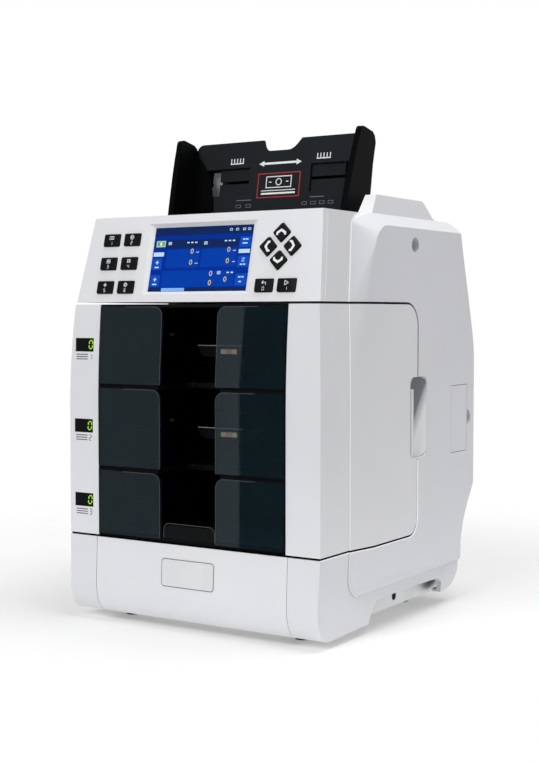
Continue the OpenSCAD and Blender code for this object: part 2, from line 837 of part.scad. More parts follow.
module control_panel() {
  color("whitesmoke") difference() {
    union() {
      intersection() {
        panel_zone(-half_seam);
        difference() {
          core_form(0);
          intersection() {
            core_form(wall);
            block([-far, -far, panel_z0 + wall], [far, far, far]);
          }
        }
      }
      // Land behind the window that the screen lies against
      panel_frame() translate([screen_off, 0, screen_mid])
        along_y(wall - past, screen_depth) square([screen_w + 9, screen_h + 9], center = true);
    }
    // Side strips that fall back from the flat middle
    both_sides() panel_frame() along_z(-10, far / 4) polygon([
      [panel_flat, 0], [front_w / 2 + 6, strip_drop * (front_w / 2 + 6 - panel_flat) / 20],
      [front_w / 2 + 6, -10], [panel_flat, -10]
    ]);
    panel_frame() {
      screen_bevel();
      along_y(-far / 8, wall + past) {
        for (k = concat(left_keys, right_keys)) key_shape(k, false, key_gap);
        for (k = arrow_keys) key_shape(k, true, key_gap);
      }
    }
  }
}
screen_t = 4;
module screen() {
  color("midnightblue") panel_frame() translate([screen_off, 0, screen_mid])
    along_y(screen_depth, screen_depth + screen_t) square([screen_w + 6, screen_h + 6], center = true);
}
key_flange = 0.9;
key_flange_y = wall + 0.2;
key_board_y = screen_depth + screen_t;
key_board_h = 70;
board_t = 1.6;
key_stem_end = key_board_y - key_travel - 0.3;
module key_board() {
  color("darkgreen") panel_frame() translate([0, 0, screen_mid])
    along_y(key_board_y, key_board_y + board_t) round_rect(2 * panel_flat + 6, key_board_h, 2);
}
module key(at, diamond) {
  color("black") panel_frame() {
    along_y(-key_proud, key_stem_end) key_shape(at, diamond, 0);
    along_y(key_flange_y, key_flange_y + 1) key_shape(at, diamond, key_gap + key_flange);
  }
}

// Frame of the leaning hopper back: X across, Z up the slope, +Y to its rear
module hopper_frame() {
  translate([0, hopper_y, body_h]) rotate([-hopper_lean, 0, 0]) children();
}
back_low = -18;
ear_h = 9;
back_w = 2 * plate_x - 12;
guide_x = front_w / 2 - guide_inset;
// Windows: from behind an open guide to past the end of its travel
window_end = guide_x - 0.5;
fin_x0 = guide_x - 13.5;
slot_spare = 8;
slot_x = fin_x0 - guide_travel - slot_spare;
// Notch in the top edge: where its sides meet the edge and the bottom, and its round corners
notch_top = [-22, 24];
notch_low = [-17.7, 12.7];
notch_d = 11.3;
notch_corner = 5;
function notch_outline() = let (z = hopper_h - notch_d, c = notch_corner) concat(
  [[notch_top[0], hopper_h + 1]],
  curve([[notch_low[0] - 0.4 * c, z + c], [notch_low[0], z + 0.3 * c],
         [notch_low[0] + 0.3 * c, z], [notch_low[0] + c, z]], 4),
  curve([[notch_low[1] - c, z], [notch_low[1] - 0.2 * c, z],
         [notch_low[1] + 0.4 * c, z + 0.4 * c], [notch_low[1] + c, z + c]], 4),
  [[notch_top[1], hopper_h + 1]]
);
module hopper_back() {
  color("dimgray") hopper_frame() difference() {
    along_y(0, back_t) {
      translate([0, (hopper_h + back_low) / 2]) round_rect(back_w, hopper_h - back_low, 8);
      translate([-plate_x, back_low]) square([2 * plate_x, ear_h]);
    }
    along_y(-past, back_t + past) {
      polygon(notch_outline());
      for (s = [-1, 1]) translate([s * (slot_x + window_end) / 2, slot_mid])
        square([window_end - slot_x, slot_h], center = true);
    }
  }
}
// Housing behind the windows that carries the racks and the pinion
skin = 2;
cavity_y0 = back_t + skin;
cavity_d = 9;
housing_h = 40;
housing_x = guide_x - 24.5;
// The rear wall of the housing reaches past its ends
housing_tail = 5;
fin_t = 2;
fin_gap = 0.5;
pin_post_r = 3;
module guide_housing() {
  color("black") hopper_frame() translate([0, 0, slot_mid]) {
    difference() {
      block([-housing_x, back_t, -housing_h / 2 - skin],
            [housing_x, cavity_y0 + cavity_d + skin, housing_h / 2 + skin]);
      block([-far, cavity_y0, -housing_h / 2], [far, cavity_y0 + cavity_d, housing_h / 2]);
      for (s = [-1, 1]) translate([s * (slot_x + housing_x + 10) / 2, 0, 0])
        block([-(housing_x + 10 - slot_x) / 2, 0, -fin_t / 2 - fin_gap],
              [(housing_x + 10 - slot_x) / 2, cavity_y0 + past, fin_t / 2 + fin_gap]);
    }
    block([-housing_x - housing_tail, cavity_y0 + cavity_d, -housing_h / 2],
          [housing_x + housing_tail, cavity_y0 + cavity_d + skin, housing_h / 2]);
    translate([0, cavity_y0 + 1, 0]) rotate([-90, 0, 0]) cylinder(h = cavity_d, r = pin_post_r);
  }
}
pitch_r = gear_module * pinion_teeth / 2;
base_r = pitch_r * cos(20);
tip_r = pitch_r + gear_module;
root_r = pitch_r - 1.2 * gear_module;
tooth_pitch = PI * gear_module;
function involute(r) = let (a = acos(base_r / r)) tan(a) * 180 / PI - a;
// Half the angle of a tooth at a radius
function tooth_angle(r) =
  (tooth_pitch / 2 - backlash) / 2 / pitch_r * 180 / PI + involute(pitch_r) - involute(max(r, base_r));
flank = [for (i = [0:4]) base_r + (tip_r - base_r) * i / 4];
module pinion_tooth() {
  polygon(concat(
    [[(root_r - 0.4) * sin(tooth_angle(base_r)), (root_r - 0.4) * cos(tooth_angle(base_r))]],
    [for (r = flank) [r * sin(tooth_angle(r)), r * cos(tooth_angle(r))]],
    [for (i = [4:-1:0]) let (r = flank[i]) [-r * sin(tooth_angle(r)), r * cos(tooth_angle(r))]],
    [[-(root_r - 0.4) * sin(tooth_angle(base_r)), (root_r - 0.4) * cos(tooth_angle(base_r))]]
  ));
}
gear_w = 6;
gear_y = cavity_y0 + 1.5;
module guide_pinion() {
  color("white") hopper_frame() translate([0, 0, slot_mid]) along_y(gear_y, gear_y + gear_w) difference() {
    union() {
      circle(root_r);
      for (i = [0:pinion_teeth - 1]) rotate(i * 360 / pinion_teeth) pinion_tooth();
    }
    circle(pin_post_r + run_fit);
  }
}
// Rack above the pinion, from the guide's web to past the middle
rack_end = guide_x - 4;
rack_h = 6;
rack_reach = 16;
module rack() {
  root = pitch_r + 1.25 * gear_module;
  base = root + 0.3;
  half = (tooth_pitch / 2 - backlash) / 2;
  slope = tan(20);
  along_y(gear_y, gear_y + gear_w) {
    translate([-rack_end, root]) square([rack_end + rack_reach, rack_h - 1.25 * gear_module]);
    for (i = [-11:2]) translate([(i + 0.5) * tooth_pitch, 0]) polygon([
      [-half - (base - pitch_r) * slope, base],
      [-half + gear_module * slope, pitch_r - gear_module],
      [half - gear_module * slope, pitch_r - gear_module],
      [half + (base - pitch_r) * slope, base]
    ]);
  }
}
guide_gap = 0.5;
flange_t = 2.2;
flange_x = guide_x - 21.5;
// Top of the note guides along the slope, and the height from which they flare
guide_top = hopper_h - 2;
guide_turn_z = 8;
// Left guide: side plate, flange, fin through the window and, above or below, its rack
module note_guide(rack_up) {
  hopper_frame() {
    translate([-guide_x, 0, guide_turn_z]) rotate([0, -guide_flare, 0]) translate([0, 0, -guide_turn_z])
      along_x(-guide_t, 0) guide_side();
    along_y(-guide_gap - flange_t, -guide_gap) polygon(concat(
      curve([[-flange_x, 12], [-flange_x - 2, guide_top / 2],
             [-flange_x - 10, guide_top - 22], [-flange_x - 27.5, guide_top - 8]], 7),
      [[-guide_x - guide_t + 1, guide_top - 14], [-guide_x - guide_t + 1, 12]]
    ));
    translate([0, 0, slot_mid]) {
      block([-rack_end, -guide_gap - 1, -fin_t / 2], [-fin_x0, gear_y + 1, fin_t / 2]);
      mirror([0, 0, rack_up ? 0 : 1]) {
        block([-rack_end, gear_y, -fin_t / 2], [-rack_end + 5, gear_y + gear_w, pitch_r + rack_h]);
        rack();
      }
    }
  }
}
module guide_side() {
  polygon(concat(
    [[-guide_gap, back_low + 2.6], [-guide_reach - 0.5, back_low + 9]],
    curve([[-guide_reach + 0.5, 2], [-guide_reach + 4, guide_top / 2],
           [-guide_reach + 6.5, guide_top - 22], [-guide_reach + 8.5, guide_top - 12]], 4),
    curve([[-guide_reach + 9.2, guide_top - 7], [-guide_reach + 9.8, guide_top - 2],
           [-guide_reach + 11, guide_top], [-guide_reach + 16, guide_top]], 4),
    [[-9, guide_top - 0.5], [-4, guide_top - 3], [-guide_gap, guide_top - 9]]
  ));
}
module left_note_guide() color("black") note_guide(true);
module right_note_guide() color("black") mirror([1, 0, 0]) note_guide(false);

// Feed table that slopes down to the feed slot
table_t = 3;
table_z = body_h - 4;
table_end = hopper_y - 2.5;
table_fall = tan(table_slope);
function table_top(y) = table_z - (y - table_y) * table_fall;
pickup_y = 116;
pickup_r = 12;
pickup_x = [-64, -24, 24, 64];
pickup_w = 16;
// The pickup axis lies under the table so that the rollers stand 1.2 proud
pickup_at = [pickup_y, table_top(pickup_y) - (pickup_r - 1.2) / cos(table_slope)];
module feed_table() {
  color("dimgray") difference() {
    along_x(-plate_x, plate_x) polygon([
      [table_y, table_z], [table_end, table_top(table_end)],
      [table_end, table_top(table_end) - table_t], [table_y, table_z - table_t]
    ]);
    for (x = pickup_x)
      rod(x - pickup_w / 2 - 1, x + pickup_w / 2 + 1, pickup_at[0], pickup_at[1], pickup_r + 1);
  }
}
// Roller shaft: a steel rod with rubber rollers
module roller_shaft(at, x1, rolls, w, r) {
  rod(-plate_x - sheet_t - 1, x1, at[0], at[1], shaft_r);
  for (x = rolls) rod(x - w / 2, x + w / 2, at[0], at[1], r);
}
module pickup_shaft() {
  color("dimgray") roller_shaft(pickup_at, plate_x + sheet_t + 1, pickup_x, pickup_w, pickup_r);
}
feed_r = 15;
feed_w = 22;
feed_x = [-44, 0, 44];
feed_at = [hopper_y + 10, body_h - 38];
module feed_shaft() {
  color("dimgray") roller_shaft(feed_at, plate_x + sheet_t + 1, feed_x, feed_w, feed_r);
}

// Steel side plates of the frame, joined by the path plate and the feed table
path_y = door_y + 3;
path_t = 3;
plate_front = 42;
plate_z1 = body_h - 7;
plate_back = tray_back - sheet_t;
upper_z = door_top + 6;
roll_y = path_y - 0.8 + roller_r;
// Heights of the rollers above the shelves and of the gates above the rollers
roll_rise = 0.22 * stacker_h;
gate_rise = 0.385 * stacker_h;
roll_z = [shelf_low + roll_rise, shelf_high + roll_rise];
motor_at = [roll_y + 40, door_bottom + 14];
module frame_plates() {
  color("lightsteelblue") difference() {
    both_sides() along_x(plate_x, plate_x + sheet_t) polygon([
      [path_y + 1, tray_z + sheet_t], [plate_back, tray_z + sheet_t], [plate_back, body_h - 60],
      [plate_back - 34, plate_z1], [plate_front + 8, plate_z1],
      [plate_front, upper_z], [path_y + 1, upper_z]
    ]);
    for (at = [pickup_at, feed_at, [roll_y, roll_z[0]], [roll_y, roll_z[1]]])
      rod(-far / 4, far / 4, at[0], at[1], shaft_r + run_fit);
    rod(0, far / 4, motor_at[0], motor_at[1], shaft_r + 1);
  }
}
roll_x = [-76, -30, 30, 76];
roll_w = 18;
module rear_path_plate() {
  color("dimgray") difference() {
    block([-plate_x, path_y, door_z0 + 1], [plate_x, path_y + path_t, door_z1 - 1]);
    for (x = roll_x, z = roll_z)
      rod(x - roll_w / 2 - 1, x + roll_w / 2 + 1, roll_y, z, roller_r + 1);
  }
}
pulley_x = plate_x + sheet_t + 2;
pulley_w = belt_w + 1;
module transport_shaft(i) {
  color("dimgray") {
    roller_shaft([roll_y, roll_z[i]], pulley_x + 1, roll_x, roll_w, roller_r);
    rod(pulley_x, pulley_x + pulley_w, roll_y, roll_z[i], pulley_r);
    for (x = [pulley_x - 1, pulley_x + pulley_w]) rod(x, x + 1, roll_y, roll_z[i], pulley_r + belt_t);
  }
}
module motor_pulley() {
  color("silver") {
    rod(plate_x - 6, pulley_x + pulley_w, motor_at[0], motor_at[1], shaft_r);
    rod(pulley_x, pulley_x + pulley_w, motor_at[0], motor_at[1], pulley_r);
    for (x = [pulley_x - 1, pulley_x + pulley_w]) rod(x, x + 1, motor_at[0], motor_at[1], pulley_r + belt_t);
  }
}
module main_motor() {
  color("dimgray") difference() {
    union() {
      rod(plate_x - motor_l, plate_x - 3, motor_at[0], motor_at[1], motor_r);
      rod(plate_x - 3, plate_x, motor_at[0], motor_at[1], motor_r - 4);
      rod(plate_x - motor_l - 5, plate_x - motor_l + 1, motor_at[0], motor_at[1], motor_r / 3);
    }
    rod(plate_x - 8, plate_x + past, motor_at[0], motor_at[1], shaft_r + run_fit);
  }
}
belt_gap = 0.3;
module belt_outline(r) {
  hull() for (at = [[roll_y, roll_z[0]], [roll_y, roll_z[1]], motor_at]) translate(at) circle(r);
}
module drive_belt() {
  color("black") along_x(pulley_x + 0.4, pulley_x + 0.4 + belt_w) difference() {
    belt_outline(pulley_r + belt_gap + belt_t);
    belt_outline(pulley_r + belt_gap);
  }
}
// Image sensor bar across the upper note path
sensor_z = door_top + 22;
module image_sensor() {
  color("black") difference() {
    block([-plate_x, path_y, sensor_z - 9], [plate_x, path_y + 15, sensor_z + 9]);
    block([10 - plate_x, path_y - past, sensor_z - 4], [plate_x - 10, path_y + 1, sensor_z + 4]);
  }
}
// Room between the path plate and the power supply
supply_gap = 18;
supply_y = path_y + supply_gap;
supply_h = 46;
supply_pitch = 11;
module power_supply() {
  color("silver") difference() {
    block([-plate_x + 6, supply_y, tray_z + sheet_t], [-4, plate_back - 6, tray_z + sheet_t + supply_h]);
    for (i = [0:7]) translate([-plate_x + 14 + i * supply_pitch, supply_y, tray_z + 14])
      block([0, -past, 0], [supply_pitch / 2, 2, supply_h - 20]);
  }
}
board_y = plate_back - 12;
board_z = [170, body_h - 85];
chip_side = 28;
chip_h = 4;
module main_board() {
  color("darkgreen") {
    block([-plate_x, board_y, board_z[0]], [plate_x, board_y + board_t, board_z[1]]);
    for (x = [-70, -10, 60]) translate([x, board_y - chip_h, (board_z[0] + board_z[1]) / 2])
      block([-chip_side / 2, 0, -chip_side / 2], [chip_side / 2, chip_h + past, chip_side / 2]);
  }
}
// Port flap: turns about its front edge
module port_flap() {
  color("gainsboro") {
    block([side_x - flap_t, flap_y + flap_axis_r, flap_z - flap_h / 2],
          [side_x, flap_y1, flap_z + flap_h / 2]);
    translate([side_x - flap_axis_r, flap_y + flap_axis_r, flap_z - flap_h / 2]) {
      cylinder(h = flap_h, r = flap_axis_r);
      translate([0, 0, -flap_pin_l]) cylinder(h = flap_h + 2 * flap_pin_l, r = flap_pin_r);
    }
  }
}
socket_t = 6;
socket_pitch = 19;
socket_w = 14;
socket_h = 13;
module port_sockets() {
  color("dimgray") difference() {
    block([side_x - tub_depth, flap_y + 5, flap_z - flap_h / 2 + 4],
          [side_x - tub_depth + socket_t, flap_y1 - 5, flap_z + flap_h / 2 - 4]);
    for (i = [-1, 0, 1]) translate([0, (flap_y + flap_y1) / 2, flap_z + i * socket_pitch])
      block([side_x - tub_depth + 1, -socket_w / 2, -socket_h / 2], [far, socket_w / 2, socket_h / 2]);
  }
}

// Door: white strips with side walls, round the black pocket frame
strip_return = 14;
module door_panel(g_top, g_low) {
  difference() {
    intersection() {
      half_form(0);
      door_zone(-half_gap, g_top, g_low);
      block([strip_x, -far / 4, 0], [far, far, far]);
    }
    difference() {
      intersection() {
        half_form(wall);
        door_zone(-half_gap - wall, g_top, g_low);
      }
      block([0, -far / 4, 0], [strip_x + wall, strip_return, far]);
    }
  }
}
module door_right_panel() {
  color("whitesmoke") difference() {
    union() {
      door_panel(door_corner_top, door_corner_low);
      intersection() {
        recess_dish(cup_t);
        half_form(0.01);
        free_door_zone(-half_gap - 0.01);
      }
    }
    recess_dish(0);
  }
}
display_x = -strip_x - 18;
display_gap = 0.2;
boss_h = 10;
module door_left_panel() {
  color("whitesmoke") difference() {
    mirror([1, 0, 0]) difference() {
      union() {
        door_panel(hinge_corner, hinge_corner);
        // Bosses round the hinge pins
        for (z = [door_z0 + 1, door_z1 - 1 - boss_h])
          translate([hinge_x, hinge_y, z]) cylinder(h = boss_h, r = hinge_inset - 0.6);
      }
      hinge_bores();
    }
    for (z = pocket_mid) translate([display_x, 0, z]) along_y(-far / 4, 20)
      square([display_w + 2 * display_gap, display_h + 2 * display_gap], center = true);
  }
}
display_sunk = 0.4;
display_t = 7;
module pocket_displays() {
  color("black") for (z = pocket_mid)
    translate([display_x, face_y(z + display_h / 2) + display_sunk, z])
      along_y(0, display_t) square([display_w, display_h], center = true);
}
// Guards of one side, right; the top pair leans with the door face
guard_x0 = guard_slot / 2;
guard_x1 = strip_x - 1.4;
guard_proud = 1.2;
guard_ease = 0.05;
guard_z = [
  [shelf_high + guard_gap / 2, door_z1 - guard_gap / 2],
  [shelf_low + guard_gap / 2, shelf_high - guard_gap / 2],
  [door_z0 + guard_gap / 2, shelf_low - guard_gap / 2]
];
top_lean = atan(face_y(door_z1) / (door_z1 - shelf_high));
module guard(h) {
  along_y(-guard_proud, guard_t - guard_proud) {
    translate([guard_x0 + guard_corner, 0]) square([guard_x1 - guard_x0 - guard_corner, h]);
    translate([guard_x0, 0]) square([guard_corner + past, h - guard_corner]);
    translate([guard_x0 + guard_corner, h - guard_corner]) circle(guard_corner);
  }
}
module pocket_guards() {
  color("darkslategray") both_sides() for (i = [0:2])
    translate([0, i == 0 ? -guard_ease : 0, guard_z[i][0]]) rotate([i == 0 ? -top_lean : 0, 0, 0])
      guard((guard_z[i][1] - guard_z[i][0]) / cos(i == 0 ? top_lean : 0));
}
// Black frame round the three pockets, closed behind by the note path wall
frame_y0 = guard_t - guard_proud;
back_wall = 3;
back_y = door_back - back_wall - 1;
wheel_y = back_y - wheel_r - 13;
wheel_drop = 12;
wheel_z = [for (z = [shelf_high, shelf_low]) z + shelf_t / 2 - wheel_drop];
gate_y = back_y - 6;
gate_r = 3;
gate_z = [roll_z[1] + gate_rise, roll_z[0] + gate_rise];
entry_z = concat([for (z = gate_z) z + 8], [shelf_low - shelf_t / 2 - 18]);
entry_h = 24;
entry_x = pocket_w / 2 - 6;
arm_t = 2.5;
arm_y = 52;
arm_hgt = 11;
stem_x = 4;
stem_w = 10;
// Note arm: a blade with a round lower edge on a stem that hangs from the ceiling
module note_arm(floor_z, ceiling_z) {
  z = floor_z + arm_z;
  along_y(arm_y, arm_y + arm_t) {
    intersection() {
      translate([-arm_w / 2, z - arm_hgt]) square([arm_w, arm_hgt]);
      union() {
        translate([0, z]) square([arm_w - 2 * arm_hgt, 2 * arm_hgt], center = true);
        for (x = [-1, 1]) translate([x * (arm_w / 2 - arm_hgt), z]) circle(arm_hgt);
      }
    }
    translate([stem_x, z - 1]) square([stem_w, ceiling_z - z + 1]);
  }
}
module pocket_frame() {
  w = pocket_w / 2;
  color("dimgray") difference() {
    union() {
      both_sides() along_x(w, w + frame_t) polygon([
        [frame_y0, door_z0], [frame_y0, shelf_high], [frame_y0 + face_y(door_z1) + 0.3, door_z1],
        [back_y + back_wall, door_z1], [back_y + back_wall, door_z0]
      ]);
      block([-w - past, frame_y0, door_z0], [w + past, back_y + back_wall, door_z0 + frame_t]);
      block([-w - past, frame_y0 + face_y(door_z1) + 0.3, door_z1 - frame_t],
            [w + past, back_y + back_wall, door_z1]);
      difference() {
        block([-w - past, back_y, door_z0], [w + past, back_y + back_wall, door_z1]);
        for (z = entry_z) translate([0, 0, z])
          block([-entry_x, back_y - past, -entry_h / 2], [entry_x, far, entry_h / 2]);
      }
      note_arm(shelf_high + shelf_t / 2, door_z1 - frame_t + past);
    }
    for (z = roll_z) {
      rod(-far / 4, far / 4, pinch_y, z, pinch_shaft_r + run_fit);
      for (x = roll_x) rod(x - pinch_w / 2 - 1, x + pinch_w / 2 + 1, pinch_y, z, pinch_r + 1);
    }
    for (z = wheel_z) rod(-far / 4, far / 4, wheel_y, z, stack_shaft_r + run_fit);
    for (z = gate_z) rod(-far / 4, far / 4, gate_y, z, gate_r + run_fit);
  }
}
slot_gap = 3;
module shelf_plate(z) {
  w = pocket_w / 2;
  difference() {
    block([-w, frame_y0, z - shelf_t / 2], [w, shelf_d, z + shelf_t / 2]);
    along_z(z - shelf_t, z + shelf_t) {
      translate([0, finger_d / 2 - 10]) round_rect(finger_w, finger_d + 20, 8);
      for (x = [-1, 1]) translate([x * wheel_span / 2, wheel_y])
        square([wheel_w + 2 * slot_gap, 2 * wheel_r + 2 * slot_gap], center = true);
    }
  }
}
module stacker_shelves() {
  color("dimgray") {
    shelf_plate(shelf_high);
    shelf_plate(shelf_low);
    note_arm(shelf_low + shelf_t / 2, shelf_high - shelf_t / 2 + past);
  }
}
tray_t = 2.5;
fence_x = 60;
fence_y = 40;
fence_h = 12;
module reject_tray() {
  w = pocket_w / 2;
  z = door_z0 + frame_t;
  color("dimgray") difference() {
    union() {
      block([-w, frame_y0, z], [w, shelf_d - 8, z + tray_t]);
      translate([0, 0, z]) along_y(frame_y0, frame_y0 + 3)
        round_rect(guard_slot - 4, 2 * (tray_t + lip_h), 6);
      for (x = [-fence_x, fence_x])
        block([x - 1.5, fence_y, z], [x + 1.5, shelf_d - 16, z + tray_t + fence_h]);
    }
    block([-far, -far, 0], [far, far, z]);
  }
}
// Pinch shaft: idle rollers in the door that press notes on the transport rollers
pinch_r = 10;
pinch_w = 14;
pinch_shaft_r = 2.5;
pinch_gap = 0.3;
pinch_y = roll_y - roller_r - pinch_gap - pinch_r;
module pinch_shaft(i) {
  color("silver") {
    rod(-pocket_w / 2 - frame_t, pocket_w / 2 + frame_t, pinch_y, roll_z[i], pinch_shaft_r);
    for (x = roll_x) rod(x - pinch_w / 2, x + pinch_w / 2, pinch_y, roll_z[i], pinch_r);
  }
}
// Stacker wheels: swept vanes on two hubs
hub_r = 12;
vane_sweep = 35;
module wheel_shape() {
  circle(hub_r);
  for (i = [0:vane_count - 1]) rotate(i * 360 / vane_count) intersection() {
    translate([0, hub_r - 1]) rotate(-vane_sweep) translate([-vane_t / 2, 0]) square([vane_t, wheel_r]);
    circle(wheel_r);
  }
}
module stacker_wheel(i) {
  color("gray") {
    for (x = [-1, 1]) translate([0, wheel_y, wheel_z[i]])
      along_x(x * wheel_span / 2 - wheel_w / 2, x * wheel_span / 2 + wheel_w / 2) wheel_shape();
    rod(-pocket_w / 2 - frame_t, pocket_w / 2 + frame_t, wheel_y, wheel_z[i], stack_shaft_r);
  }
}
// Diverter gate: a row of wedge fingers on a shaft
gate_end = pocket_w / 2 - 18;
gate_x = [-gate_end, -60, -18, 18, 60, gate_end];
gate_w = 8;
module gate(i) {
  color("black") {
    rod(-pocket_w / 2 - frame_t, pocket_w / 2 + frame_t, gate_y, gate_z[i], gate_r);
    for (x = gate_x) translate([0, gate_y, gate_z[i]]) along_x(x - gate_w / 2, x + gate_w / 2) {
      circle(gate_r + 2);
      polygon([[-4.2, 2.6], [3, -3.8], [11, 11], [11.5, 17], [10.2, 17]]);
    }
  }
}

// Moves the casing's middle to Y = 0
module placed() translate([0, -mid_y, 0]) children();

placed() base_tray();
placed() base_front();
placed() badge_plate();
placed() right_side_cover();
placed() left_side_cover();
placed() top_cover();
placed() rear_cover();
placed() control_panel();
placed() screen();
placed() key_board();
placed() key(left_keys[0], false);  // key_left_1
placed() key(left_keys[1], false);  // key_left_2
placed() key(left_keys[2], false);  // key_left_3
placed() key(left_keys[3], false);  // key_left_4
placed() key(left_keys[4], false);  // key_left_5
placed() key(left_keys[5], false);  // key_left_6
placed() key(arrow_keys[0], true);  // key_up
placed() key(arrow_keys[1], true);  // key_down
placed() key(arrow_keys[2], true);  // key_left
placed() key(arrow_keys[3], true);  // key_right
placed() key(right_keys[0], false);  // key_cancel
placed() key(right_keys[1], false);  // key_start
placed() hopper_back();
placed() guide_housing();
placed() feed_table();
placed() left_note_guide();
placed() right_note_guide();
placed() guide_pinion();
placed() pickup_shaft();
placed() feed_shaft();
placed() frame_plates();
placed() rear_path_plate();
placed() image_sensor();
placed() transport_shaft(0);  // transport_shaft_1
placed() transport_shaft(1);  // transport_shaft_2
placed() main_motor();
placed() motor_pulley();
placed() drive_belt();
placed() power_supply();
placed() main_board();
placed() power_inlet();
placed() power_rocker();
placed() port_flap();
placed() port_sockets();
placed() feet();
placed() cover_screws();
placed() hinge_pins();
placed() door_right_panel();
placed() door_left_panel();
placed() pocket_frame();
placed() pocket_guards();
placed() stacker_shelves();
placed() reject_tray();
placed() pocket_displays();
placed() stacker_wheel(0);  // stacker_wheel_1
placed() stacker_wheel(1);  // stacker_wheel_2
placed() gate(0);  // gate_1
placed() gate(1);  // gate_2
placed() pinch_shaft(0);  // pinch_shaft_1
placed() pinch_shaft(1);  // pinch_shaft_2
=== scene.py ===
"""Looks of the banknote sorter: materials, printed marks, screen picture, studio and camera."""
import json
import math

import bmesh
import bpy
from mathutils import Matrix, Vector


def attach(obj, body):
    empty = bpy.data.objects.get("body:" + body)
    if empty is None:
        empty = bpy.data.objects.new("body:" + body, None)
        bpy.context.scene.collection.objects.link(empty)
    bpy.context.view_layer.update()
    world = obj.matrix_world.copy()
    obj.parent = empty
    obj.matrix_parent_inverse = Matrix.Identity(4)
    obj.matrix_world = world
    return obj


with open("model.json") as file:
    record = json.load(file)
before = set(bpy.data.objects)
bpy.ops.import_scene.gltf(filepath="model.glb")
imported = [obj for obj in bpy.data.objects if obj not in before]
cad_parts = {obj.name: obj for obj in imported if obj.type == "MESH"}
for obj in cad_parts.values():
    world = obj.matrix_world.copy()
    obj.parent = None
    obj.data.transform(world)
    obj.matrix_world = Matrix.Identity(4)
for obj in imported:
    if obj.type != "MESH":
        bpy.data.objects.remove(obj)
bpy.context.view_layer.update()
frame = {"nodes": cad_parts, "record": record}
nodes = frame["nodes"]
MM = 0.001

# Sizes that follow the part's source, in millimetres and degrees
MID_Y = 155.25
FRONT_W, BODY_H, SIDE_X = 280.0, 385.0, 146.5
DOOR_BOTTOM, DOOR_TOP, DOOR_Y, DOOR_GAP, DOOR_CORNER = 82.0, 303.0, 172.0, 2.0, 16.0
HALF_GAP = DOOR_GAP / 2
DOOR_BACK, DOOR_REAR = DOOR_Y - HALF_GAP, DOOR_Y + HALF_GAP
LEAN_Z, FACE_LEAN, DOOR_TAPER = 200.0, 5.0, 4.0
PANEL_LEAN, PANEL_TAPER, PANEL_RETURN = 13.5, 8.5, 9.5
HOPPER_Y, HOPPER_LEAN = 148.0, 9.5
BASE_BULGE, BROW_Z = 2.0, 38.0
SHELF_LOW, SHELF_HIGH = 147.5, 225.25
STEP_Y, STEP_H, STEP_CORNER, SLOPE_W = 51.0, 1.0, (24.0, 16.0), 34.0
PANEL_Z, LOW_R = 40.0, 18.0
RECESS_Z, RECESS_H, RECESS_R = 194.0, 78.0, 8.0
DISH_W, DISH_DEPTH, DISH_DEEP_H = 15.0, 4.0, 12.0
SCOOP_W, SCOOP_DEPTH, SCOOP_FLOOR, SCOOP_PAST = 19.0, 12.0, 4.0, (1.0, 1.5)
SCREEN_W, SCREEN_H, SCREEN_MID, SCREEN_OFF, SCREEN_DEPTH = 110.0, 61.5, 42.5, 1.0, 3.4
KEY_PROUD, KEY_ROWS = 1.6, (61.7, 38.6, 15.5)
LEFT_COLUMNS, RIGHT_COLUMNS = (-102.0, -77.5), (77.2, 100.8)
ARROW_MID, ARROW_STEP = (89.0, 50.8), 12.6
BADGE_Z, BADGE_PROUD, BADGE_W, BADGE_H, BADGE_CORNER = 55.0, 0.3, 59.0, 26.0, 3.0
DISPLAY_X, DISPLAY_H, DISPLAY_SUNK = -123.0, 12.6, 0.4
GUARD_X, GUARD_CORNER, GUARD_GAP, GUARD_PROUD = 31.0, 9.0, 4.0, 1.2
ARM_Y, ARM_RISE, ARM_W, POCKET_X = 52.0, 38.5, 52.0, 102.0
LIP_X, LIP_Y, LIP_LOW, LIP_H, LIP_R = 29.0, 1.3, 86.0, 14.5, 6.0

# Lower and upper edge of each pocket, from the top down
POCKETS = ((SHELF_HIGH, DOOR_TOP - HALF_GAP), (SHELF_LOW, SHELF_HIGH), (DOOR_BOTTOM + HALF_GAP, SHELF_LOW))

# Values that most of a noise texture lies between
NOISE_LOW, NOISE_HIGH = 0.3, 0.7


# Node helpers

def new_material(name):
    """A material with an empty tree and its Principled shader."""
    mat = bpy.data.materials.new(name)
    mat.use_nodes = True
    tree = mat.node_tree
    tree.nodes.clear()
    out = tree.nodes.new("ShaderNodeOutputMaterial")
    shader = tree.nodes.new("ShaderNodeBsdfPrincipled")
    tree.links.new(shader.outputs["BSDF"], out.inputs["Surface"])
    return mat, tree, shader


def add(tree, kind, inputs=None, **props):
    """A node with its properties and input values set; an input may be another node's output."""
    node = tree.nodes.new(kind)
    for key, value in props.items():
        setattr(node, key, value)
    for key, value in (inputs or {}).items():
        if isinstance(value, bpy.types.NodeSocket):
            tree.links.new(value, node.inputs[key])
        else:
            node.inputs[key].default_value = value
    return node


def ramp(tree, fac, stops):
    """A colour ramp over fac with (position, colour) stops."""
    node = add(tree, "ShaderNodeValToRGB", {"Fac": fac})
    line = node.color_ramp.elements
    while len(line) < len(stops):
        line.new(0.5)
    for element, (place, colour) in zip(line, stops):
        element.position = place
        element.color = (*colour, 1.0)
    return node.outputs["Color"]


def span(tree, value, source, target, **props):
    """A value mapped from one range to another, each given as (low, high)."""
    limits = {"From Min": source[0], "From Max": source[1], "To Min": target[0], "To Max": target[1]}
    return add(tree, "ShaderNodeMapRange", {"Value": value, **limits}, **props).outputs["Result"]


def calc(tree, operation, a, b):
    """The result of a sum on two values."""
    return add(tree, "ShaderNodeMath", {0: a, 1: b}, operation=operation).outputs[0]


